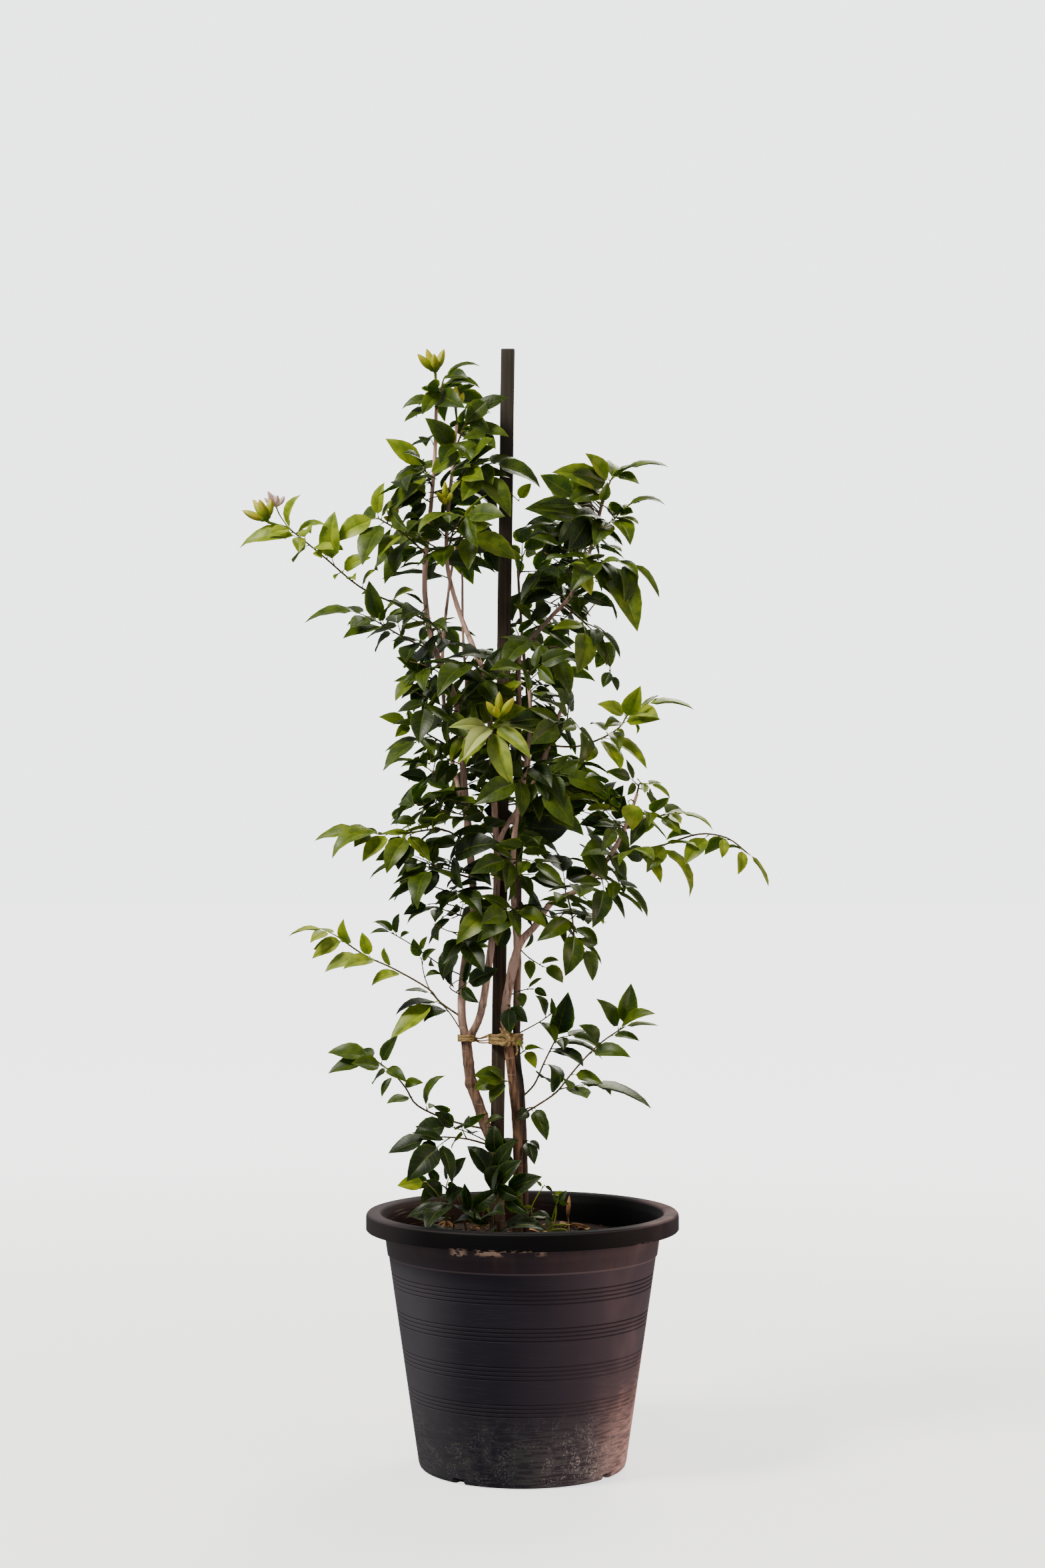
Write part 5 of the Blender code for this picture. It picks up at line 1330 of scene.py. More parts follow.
def plain_leaf(length, layout, bend, start=0.0):
    """The coarse sheet of a compound leaf, with which free places are looked for."""
    half = RACHIS_HALF_WIDTH
    flat, triangles = [], []

    def add(x, y, rise=0.0):
        flat.append((x, y, rise))
        return len(flat) - 1

    chains = {hand: [add(start, half * hand)] for hand in (1, -1)}
    feet = []
    for foot, hand, *_ in layout[:-1]:
        ends = [add(foot - 1.0, half * hand), add(foot + 1.0, half * hand)]
        chains[hand] += ends
        feet.append(ends if hand == 1 else ends[::-1])
    end = layout[-1][0]
    left, right = ([*chains[hand], add(end, half * hand)] for hand in (1, -1))
    feet.append((left[-1], right[-1]))
    i = j = 0
    while i < len(left) - 1 or j < len(right) - 1:
        left_next = j == len(right) - 1
        if not left_next and i < len(left) - 1:
            left_next = flat[left[i + 1]][0] <= flat[right[j + 1]][0]
        if left_next:
            triangles.append((right[j], left[i + 1], left[i]))
            i += 1
        else:
            triangles.append((right[j], right[j + 1], left[i]))
            j += 1
    for (one, two), (foot, hand, way, size, droop, width) in zip(feet, layout):
        side = Vector((-way.y, way.x))
        base = Vector((foot, half * hand))
        spots = {}
        for key, u, v, rise in (("l", 0.4, 0.5, 0), ("r", 0.4, -0.5, 0), ("t", 1, 0, -0.02),
                                ("f", 0.42, 0, -0.07), ("fl", 0.72, 0.31, -0.01), ("fr", 0.72, -0.31, -0.01)):
            if hand and key in ("f", "fl", "fr"):
                continue
            spot = base + way * (u * size) + side * (v * width)
            spots[key] = add(spot.x, spot.y, rise * size - droop * u * u)
        l, r, t = spots["l"], spots["r"], spots["t"]
        if hand:
            triangles += [(one, two, r), (one, r, l), (l, r, t)]
        else:
            f, fl, fr = spots["f"], spots["fl"], spots["fr"]
            triangles += [(one, two, f), (two, r, f), (one, f, l)]
            triangles += [(f, r, fr), (f, fr, t), (f, t, fl), (f, fl, l)]
    return [bent(*p, bend, length) for p in flat], triangles


def leaf_place(foot, tip, roll, bend, lean):
    """The matrix that sets a leaf made along +X so that it runs from its foot to its tip. Its
    face looks up and outwards and, in the front half of the plant, leans to the front."""
    way = (tip - foot).normalized()
    outward = Vector((foot.x - PLANT_MIDDLE, foot.y, 0)).normalized()
    face = UP + outward * OUTWARDS + FRONT * (lean if foot.y < BACK_LEAVES else 0)
    face = (face - way * face.dot(way)).normalized()
    face = Matrix.Rotation(roll, 3, way) @ face
    across = face.cross(way)
    turn = Matrix.Rotation(-bend / 2, 3, across)
    way, face = turn @ way, turn @ face
    axes = Matrix((way, face.cross(way), face)).transposed()
    return Matrix.Translation(foot) @ axes.to_4x4()


def free_leaf(foot, tip, leaflets, seed, tries=MOST_TRIES, spacing=LEAF_SPACING, allowed=None,
              lone_width=LONE_LEAFLET_WIDTH, lean=USUAL_LEAN, loose=USUAL_ROLL):
    """Finds a place for one leaf that is clear of all that is taken. A leaf that would cross
    something is rolled, then bent aside, then shortened, by a seeded rule."""
    draw = random.Random(seed)
    wish = tip - foot
    for attempt in range(tries):
        swing = math.radians(1.1 * attempt)
        turn = Matrix.Rotation(draw.uniform(-swing, swing), 3, "Z")
        turn = turn @ Matrix.Rotation(draw.uniform(-swing, swing), 3, wish.orthogonal().normalized())
        chord = turn @ wish * (1 - 0.25 * attempt / MOST_TRIES)
        roll = draw.uniform(-loose, loose) * (1 + attempt / 20)
        bend = draw.uniform(0.45, 0.95)
        length = chord.length * (bend / 2) / math.sin(bend / 2)
        place = leaf_place(foot, foot + chord, roll, bend, lean)
        layout = leaf_layout(length, leaflets, draw.random(), lone_width)
        points, triangles = plain_leaf(length, layout, bend, 8.0)
        points = [place @ p for p in points]
        if allowed and not all(allowed(p) for p in points):
            continue
        tree = BVHTree.FromPolygons(*thicken(points, triangles, spacing))
        if any(tree.overlap(other) for other in taken):
            continue
        points, triangles = plain_leaf(length, layout, bend)
        points = [place @ p for p in points]
        taken.append(BVHTree.FromPolygons(*thicken(points, triangles, SOLID_THICKNESS)))
        return place, length, bend, layout
    return None


def dress_leaf(foliage, found, tone, draw):
    """Adds a compound leaf with finished leaflets and a thin round stalk at the place found."""
    place, length, bend, layout = found
    place = np.array(place)
    for foot, hand, way, size, droop, width in layout:
        width *= SLIMMER if len(layout) > 1 else 1
        points, faces, spots, under = LEAFLETS[draw.randrange(len(LEAFLETS))]
        roll = draw.uniform(-0.22, 0.22) if hand else draw.uniform(-0.1, 0.1)
        u, v, w = points.T
        side = np.array((-way.y, way.x))
        x = foot + way.x * u * size + side[0] * v * width
        y = hand * RACHIS_HALF_WIDTH * 0.4 + way.y * u * size + side[1] * v * width
        rise = w * size - droop * u * u + v * width * roll * np.sin(np.minimum(u * 4, 1) * math.pi / 2)
        angle, reach = bend * x / length, length / bend
        local = np.stack((
            reach * np.sin(angle) + rise * np.sin(angle), y,
            -reach * (1 - np.cos(angle)) + rise * np.cos(angle),
        ))
        world = (place[:3, :3] @ local).T + place[:3, 3]
        foliage.add(world * MM, faces, spots, under, tone + draw.uniform(-0.1, 0.1))
    end = layout[-1][0]
    stalk = []
    for step in range(7):
        x = end * step / 6
        spot = bent(x, 0, 0, bend, length)
        stalk.append((*(found[0] @ spot), 0.85 - 0.4 * step / 6))
    foliage.add_rod(stalk, 5, tone, 0.4)


def node_tree(name):
    """A search tree of a solid's surface, in millimetres."""
    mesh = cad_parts[name].data
    points = [vertex.co / MM for vertex in mesh.vertices]
    return BVHTree.FromPolygons(points, [tuple(face.vertices) for face in mesh.polygons])


# How bright each shoot's leaves are. The young ones at the tips are yellow-green; the tones also carry
# painted light on the sunlit shoots and painted shade on the dark ones at the foot.
BRIGHT_SHOOTS = {
    "shoot_left_arch": 0.78, "shoot_right_bright": 0.76, "shoot_right_long": 0.82,
    "shoot_left_faint": 0.92, "shoot_crown": 0.5, "shoot_crown_right": 0.52,
    "shoot_crown_left": 0.56, "shoot_over_stake": 0.58, "shoot_low_right": 0.5,
    "shoot_low_left": 0.46, "shoot_low_left_2": 0.16, "shoot_foot_left": 0.04,
    "shoot_foot_front": 0.0, "shoot_right_crown": 0.56, "shoot_right_reach": 0.6,
    "shoot_left_reach": 0.56, "shoot_middle_star": 0.98, "shoot_left_shoulder": 0.6,
    "shoot_centre_big": 0.52, "shoot_right_upper": 0.46, "shoot_upper_front": 0.54,
}
PLAIN_TONE = 0.34
# The newest leaves are paler still, partly their own young colour and partly a painted sheen of glare.
PALE_SHEEN_SHOOTS = {"shoot_middle_star": 0.3, "shoot_left_faint": 0.2}
# Painted light and shade by height: up to this height a leaf's tone is this much brighter, the lowest
# leaves darker as painted shade and the middle ones brighter as painted sunlight.
PAINTED_LIGHT_BY_HEIGHT = ((430, -0.12), (545, 0), (800, 0.11), (1200, 0))


def between(value):
    """The value, kept between 0 and 1."""
    return min(1.0, max(0.0, value))


def leaf_tone(base, tip, draw):
    """Outer leaves are younger and so brighter than the ones inside, and the tone rises and falls with height
    as painted light and shade.
    """
    out = min(1.0, math.hypot(tip.x - PLANT_MIDDLE, tip.y * 0.6) / 160)
    lift = next(tone for height, tone in PAINTED_LIGHT_BY_HEIGHT if tip.z < height)
    return between(base + lift + 0.26 * (out - 0.5) + draw.uniform(-0.2, 0.2))


obstacles = ["pot", "stake", "twine_tie", *STEMS]
obstacles += sorted(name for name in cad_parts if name.startswith(("buds_", "fallen_leaf")))
taken = [node_tree(name) for name in obstacles]
taken += [BVHTree.FromPolygons(*rod_parts(shoot_route(name), 3, CLEARANCE)) for name in SHOOTS]
level = SOIL_HEIGHT + SOIL_UNEVENNESS + 2
corners = [(-200, -200, level), (200, -200, level), (200, 200, level), (-200, 200, level)]
taken.append(BVHTree.FromPolygons(corners, [(0, 1, 2, 3)]))
shoot_pieces = {}
draw = random.Random(5)
for index, name in enumerate(SHOOTS):
    shoot_pieces[name] = Foliage()
    twig = shoot_route(name)
    base = BRIGHT_SHOOTS.get(name, PLAIN_TONE)
    width = STAR_LEAFLET_WIDTH if name == "shoot_middle_star" else LONE_LEAFLET_WIDTH
    for number, (share, tip, leaflets, *lean) in enumerate(SHOOTS[name][3]):
        foot, _ = point_along(twig, share)
        aimed = {"lean": lean[0], "loose": AIMED_ROLL} if lean else {}
        found = free_leaf(foot, Vector(tip), leaflets, index * 100 + number, lone_width=width, **aimed)
        if found:
            pale = PALE_SHEEN_SHOOTS.get(name, 0)
            dress_leaf(shoot_pieces[name], found, pale + leaf_tone(base, Vector(tip), draw), draw)
    finer = [(x, y, z, radius * 0.8) for x, y, z, radius in smooth_route(twig, 4)]
    shoot_pieces[name].add_rod(finer, 8, base, 1.0)


# The weed: a small sprout that came up by itself in the soil, with two leaves like the plant's
# own, thin curling stems beside it and a few small leaves on those.
WEED_ROUTE = ((26, -62, 220, 1.0), (26, -62, 246, 1.0), (30, -64, 262, 0.8), (34, -66, 276, 0.7))
WEED_LEAVES = ((0.98, (44, -74, 290)), (0.7, (4, -78, 266)))
WEED_STEMS = (
    (
        (24, -40, 230, 0.7), (20, -41, 246, 0.65), (9, -44, 264, 0.6), (13, -46, 278, 0.55),
        (22, -48, 292, 0.5),
    ),
    ((25, -40, 230, 0.7), (33, -42, 258, 0.6), (34, -43, 272, 0.55), (37, -44, 282, 0.5)),
    ((24, -46, 236, 1.3), (28, -49, 250, 1.2), (40, -50, 253, 1.1), (47, -48, 252, 0.9)),
    ((50, -40, 232, 1.1), (44, -44, 246, 1.1), (33, -46, 247, 1.2), (25, -44, 243, 1.2)),
)
WEED_LEAF_TONE = 0.14
# Each small leaf is its foot, its tip and its tone.
WEED_SMALL_LEAVES = (
    ((22, -48, 292), (31, -52, 287), 0.1), ((30, -43, 282), (45, -46, 285), 0.7),
    ((20, -46, 290), (14, -50, 297), 0.3), ((11, -44, 268), (2, -48, 272), 0.5),
)
weed = Foliage()
for index, (share, tip) in enumerate(WEED_LEAVES):
    foot, _ = point_along(WEED_ROUTE, share)
    found = free_leaf(foot, Vector(tip), 3, 900 + index)
    if found:
        dress_leaf(weed, found, WEED_LEAF_TONE, draw)
weed.add_rod(smooth_route(WEED_ROUTE, 4), 7, 0.5, 0.5)
for route in WEED_STEMS:
    weed.add_rod(smooth_route(route, 4), 6, 0.62, 0.5)
for index, (foot, tip, tone) in enumerate(WEED_SMALL_LEAVES):
    found = free_leaf(Vector(foot), Vector(tip), 1, 950 + index, lone_width=0.4)
    if found:
        dress_leaf(weed, found, tone, draw)
weed_piece = finish_leaves(weed, "weed_leaves")
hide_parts("weed_sprout")


# Thin sprigs with single leaflets, too fine for the solids, grow round the plant's foot, up the
# bare stems and at the crown's edge, and small leaves stand between the large ones of the shoots.
SPRIG_RADIUS = (0.8, 0.55)
FINE_TRIES = 30
FINE_SPACING = 0.8
# Each sprig is the branch and height that it leaves from, its other points, how bright it is,
# and its leaflets as (share of the sprig, tip).
SPRIGS = {
    "foot_stems": ("soil", (-30, -36), ((-32, -40, 262), (-30, -44, 300)), 0.0, (
        (1.0, (-10, -56, 340)), (0.97, (-44, -58, 344)), (0.95, (-52, -62, 322)), (0.9, (-24, -66, 336)),
        (0.85, (-34, -80, 318)), (0.7, (-16, -72, 290)),
        (0.6, (-62, -72, 300)), (0.55, (-30, -88, 282)), (0.4, (-56, -84, 272)),
    )),
    "foot_left": ("soil", (-66, -40), ((-70, -46, 256), (-78, -52, 280)), 0.02, (
        (1.0, (-106, -62, 302)), (0.95, (-62, -76, 296)), (0.85, (-98, -84, 282)), (0.7, (-112, -66, 278)),
        (0.6, (-56, -82, 276)), (0.5, (-84, -92, 264)), (0.4, (-104, -80, 266)),
    )),
    "foot_arc": ("left_trunk", 330, ((-52, -30, 342), (-72, -38, 350)), 0.04, (
        (1.0, (-116, -52, 346)), (0.9, (-88, -50, 366)), (0.7, (-82, -66, 336)), (0.5, (-56, -60, 352)),
    )),
    "foot_bright": ("soil", (-72, -52), ((-78, -60, 270), (-96, -68, 298)), 0.88, (
        (1.0, (-124, -82, 296)),
    )),
    "stem_front": ("centre", 392, ((-20, -26, 396),), 0.5, (
        (1.0, (-52, -34, 390)), (0.9, (-30, -40, 412)), (0.8, (-48, -46, 404)), (0.6, (-36, -38, 376)),
    )),
    "stem_right": ("right", 362, ((8, -6, 366), (12, -8, 366)), 0.16, (
        (1.0, (25, -14, 342)), (0.8, (22, -26, 362)), (0.5, (-10, -26, 360)),
    )),
    "stem_right_low": ("right", 330, ((5, -4, 332),), 0.1, ((1.0, (20, -12, 327)), (0.7, (12, -28, 316)))),
    "stem_left_low": ("left_trunk", 352, ((-36, -26, 350),), 0.14, (
        (1.0, (-22, -36, 334)), (0.7, (-26, -38, 364)),
    )),
    "stem_gap": ("left_trunk", 316, ((-27, -26, 320),), 0.02, (
        (1.0, (-8, -42, 340)), (0.9, (-30, -46, 350)), (0.7, (-6, -38, 312)), (0.5, (-38, -48, 316)),
        (0.8, (-18, -44, 330)),
    )),
    "foot_curl": ("soil", (-40, 46), ((-41, 44, 248), (-38, 42, 262)), 0.3, ((1.0, (-31, 38, 250)),)),
    "tie_pale": ("right", 418, ((2, -6, 424),), 0.82, (
        (1.0, (16, -22, 410)), (0.8, (-2, -24, 436)), (0.6, (22, -20, 432)),
    )),
    "tie_dark": ("centre", 470, ((-13, -24, 472),), 0.1, ((1.0, (-16, -36, 443)), (0.6, (6, -34, 456)))),
    "right_bright": ("right", 440, ((16, 2, 452), (30, -4, 462)), 0.55, (
        (1.0, (58, -14, 482)), (0.95, (60, -20, 458)), (0.8, (20, -20, 484)), (0.6, (38, -26, 444)),
        (0.9, (42, -30, 476)),
    )),
    "left_fork": ("left_trunk", 436, (
        (-74, -4, 462), (-92, -6, 482), (-100, -8, 500), (-103, -10, 518),
    ), 0.3, (
        (1.0, (-114, -16, 538)), (0.95, (-92, -18, 532)), (0.8, (-86, -20, 508)), (0.6, (-120, -18, 490)),
        (0.45, (-134, -22, 472)), (0.35, (-106, -26, 464)),
    )),
    "left_star": ("left_high", 500, ((-84, -8, 512), (-112, -14, 532), (-132, -18, 544)), 0.28, (
        (1.0, (-156, -24, 549)), (0.98, (-148, -22, 564)), (0.94, (-128, -26, 566)), (0.9, (-116, -24, 548)),
        (0.6, (-100, -20, 542)), (0.45, (-104, -24, 516)),
    )),
    "left_lone": ("left_high", 566, ((-78, -10, 574), (-94, -14, 574)), 0.1, (
        (1.0, (-122, -20, 564)), (0.6, (-84, -30, 592)),
    )),
    "left_dark": ("left_high", 532, ((-64, -10, 530),), 0.06, (
        (1.0, (-84, -26, 490)), (0.6, (-40, -28, 512)),
    )),
    "right_low": ("centre", 480, ((-2, -18, 486), (10, -20, 488)), 0.26, (
        (1.0, (26, -26, 482)), (0.8, (18, -28, 502)), (0.5, (2, -30, 470)),
    )),
    "right_pale": ("centre", 530, ((6, -20, 520), (20, -22, 511)), 0.62, (
        (1.0, (46, -28, 498)), (0.9, (36, -32, 520)), (0.5, (8, -34, 500)),
    )),
    "right_hanging": ("right", 880, ((76, -30, 846), (86, -34, 826), (89, -34, 806)), 0.3, (
        (1.0, (99, -38, 790)), (0.95, (82, -42, 792)), (0.7, (76, -42, 812)), (0.6, (104, -44, 818)),
    )),
    "bright_low": ("centre", 590, ((58, -30, 580),), 0.9, ((1.0, (80, -40, 562)), (0.7, (52, -44, 560)))),
}
# The small leaves of each shoot: how bright they are, and (share, tip, lean to the front).
SMALL_LEAVES = {
    "shoot_left_arch": (0.82, (
        (0.97, (-262, -24, 962), 1.0), (0.93, (-226, -48, 930), 0.8), (0.88, (-222, 8, 968), 0.8),
        (0.8, (-212, -50, 932), 1.2), (0.72, (-186, 6, 944), 0.6), (0.6, (-190, -40, 904), 0.8),
        (0.45, (-152, -40, 914), 1.0), (0.38, (-166, 10, 902), 0.6), (0.25, (-120, -36, 898), 1.0),
        (0.99, (-262, -40, 940), 0.4),
    )),
    "shoot_left_shoulder": (0.6, (
        (0.97, (-172, 6, 976), 0.8), (0.95, (-130, -50, 984), 1.0), (0.8, (-122, -54, 918), 0.8),
        (0.75, (-148, 12, 936), 0.6), (0.6, (-112, -50, 972), 0.8), (0.4, (-138, -44, 914), 0.6),
    )),
    "shoot_left_low": (0.34, (
        (0.97, (-186, -10, 878), 0.8), (0.9, (-132, -54, 884), 1.0), (0.7, (-158, 10, 836), 0.6),
        (0.5, (-122, -50, 872), 1.5), (0.35, (-118, -50, 822), 1.0),
    )),
    "shoot_left_waist": (0.16, (
        (0.98, (-112, -50, 836), 1.5), (0.8, (-128, 8, 812), 0.8), (0.6, (-96, -54, 786), 1.2),
        (0.5, (-100, -46, 846), 1.0), (0.4, (-118, -40, 776), 0.8),
    )),
    "shoot_crown": (0.5, (
        (0.95, (-60, -46, 1110), 0.8), (0.85, (-98, 12, 1112), 0.6), (0.6, (-60, 14, 1110), 0.6),
        (0.5, (-100, -46, 1096), 1.0), (0.4, (-68, -50, 1082), 1.0), (0.2, (-112, 18, 1078), 0.6),
    )),
    "shoot_crown_right": (0.5, (
        (0.98, (-30, -8, 1082), 0.6), (0.8, (-62, -56, 1080), 1.0), (0.6, (-30, -60, 1040), 0.8),
        (0.4, (-40, 6, 1062), 0.6), (0.3, (-52, -62, 1024), 1.0),
    )),
    "shoot_crown_left": (0.5, (
        (0.98, (-118, -44, 1036), 1.2), (0.9, (-126, 14, 1022), 0.6), (0.7, (-110, -52, 1000), 0.8),
        (0.5, (-92, -54, 1030), 1.0),
    )),
    "shoot_over_stake": (0.44, (
        (0.95, (-34, -66, 1034), 1.0), (0.85, (6, -60, 1026), 1.2), (0.7, (-20, -66, 996), 1.0),
        (0.5, (-58, -66, 1018), 0.8),
    )),
    "shoot_right_crown": (0.5, (
        (0.97, (116, -40, 1022), 0.4), (0.9, (98, 16, 1034), 0.6), (0.7, (54, -44, 1012), 1.5),
        (0.5, (60, 24, 1026), 0.6), (0.3, (40, -40, 1004), 1.0), (0.2, (78, -46, 990), 1.0),
    )),
    "shoot_right_upper": (0.4, (
        (0.97, (118, -50, 982), 0.8), (0.85, (98, 14, 990), 0.6), (0.7, (74, -56, 948), 1.0),
        (0.6, (54, -54, 976), 1.0), (0.3, (34, -52, 958), 1.0), (0.2, (60, -50, 936), 0.8),
    )),
    "shoot_right_wing": (0.4, (
        (0.98, (124, -20, 902), 0.5), (0.9, (98, -66, 884), 1.5), (0.6, (84, -60, 898), 1.0),
        (0.4, (62, -60, 930), 0.8),
    )),
    "shoot_right_bright": (0.66, (
        (0.98, (124, -14, 752), 0.5), (0.9, (84, -60, 758), 1.0), (0.75, (98, -64, 740), 0.8),
        (0.6, (106, -58, 706), 0.8), (0.5, (66, -60, 720), 1.0), (0.7, (70, -10, 766), 0.6),
    )),
    "shoot_right_reach": (0.45, (
        (0.97, (164, -12, 676), 0.3), (0.9, (160, -60, 650), 0.8), (0.7, (146, -64, 688), 0.6),
        (0.5, (110, -60, 640), 1.0),
    )),
    "shoot_right_long": (0.7, (
        (0.98, (206, -24, 636), 0.5), (0.85, (186, -10, 630), 0.4), (0.7, (162, -64, 616), 1.0),
        (0.6, (150, -10, 650), 0.4), (0.4, (124, -62, 612), 1.0),
    )),
    "shoot_left_reach": (0.42, (
        (0.97, (-176, -8, 650), 0.5), (0.85, (-156, -50, 668), 0.8), (0.8, (-138, -56, 606), 1.0),
        (0.6, (-118, -58, 620), 1.0), (0.4, (-102, -50, 668), 0.8), (0.3, (-112, 14, 640), 0.6),
    )),
    "shoot_left_faint": (0.95, (
        (0.95, (-214, -30, 532), 0.8), (0.9, (-186, -44, 556), 0.8), (0.75, (-164, -30, 546), 0.8),
        (0.6, (-142, -40, 530), 1.0), (0.5, (-154, -40, 502), 0.8),
    )),
    "shoot_low_left": (0.46, (
        (0.97, (-172, -16, 432), 0.8), (0.9, (-172, -50, 416), 0.8), (0.85, (-158, -10, 394), 0.5),
        (0.7, (-104, -48, 398), 1.0), (0.6, (-136, -50, 376), 0.6), (0.3, (-112, -46, 384), 0.8),
    )),
    "shoot_low_right": (0.5, (
        (0.99, (101, -40, 486), 1.5), (0.9, (118, -36, 442), 0.6), (0.8, (64, -40, 456), 0.8),
        (0.7, (104, -46, 432), 1.0), (0.5, (84, -20, 396), 0.5), (0.45, (60, -40, 384), 1.0),
        (0.3, (52, -40, 402), 0.8),
    )),
    "shoot_low_right_2": (0.4, (
        (0.98, (58, -10, 462), 1.0), (0.8, (52, -10, 424), 1.0), (0.6, (46, -14, 398), 0.6),
        (0.4, (30, -30, 396), 1.0),
    )),
    "shoot_droop_right": (0.36, (
        (0.97, (62, -74, 518), 1.0), (0.8, (76, -66, 540), 0.8), (0.5, (64, -60, 560), 0.6),
    )),
}
for index, (name, (base, leaves)) in enumerate(SMALL_LEAVES.items()):
    route = shoot_route(name)
    draw = random.Random(600 + index)
    for number, (share, tip, lean) in enumerate(leaves):
        foot, _ = point_along(route, share)
        found = free_leaf(
            foot, Vector(tip), 1, 8000 + index * 20 + number, FINE_TRIES, FINE_SPACING,
            lone_width=LEAFLET_WIDTH * 0.9, lean=lean, loose=0.4)
        if found:
            dress_leaf(shoot_pieces[name], found, between(base + draw.uniform(-0.2, 0.15)), draw)
for index, (name, (branch, start, others, base, leaves)) in enumerate(SPRIGS.items()):
    route = twig_route(branch, start, others, *SPRIG_RADIUS)
    draw = random.Random(700 + index)
    sprig = Foliage()
    for number, (share, tip) in enumerate(leaves):
        foot, _ = point_along(route, share)
        found = free_leaf(
            foot, Vector(tip), 1, 7000 + index * 20 + number, FINE_TRIES, FINE_SPACING,
            lone_width=LEAFLET_WIDTH)
        if found:
            dress_leaf(sprig, found, between(base + draw.uniform(-0.12, 0.12)), draw)
    sprig.add_rod(smooth_route(route, 4), 6, base, 0.8)
    finish_leaves(sprig, "sprig_" + name)


# Leaves set one by one where the crown's own show best, each on a thin spur from the nearest
# branch or twig.
SPUR_RADIUS = (0.75, 0.5)
SPUR_SPACING = 0.6
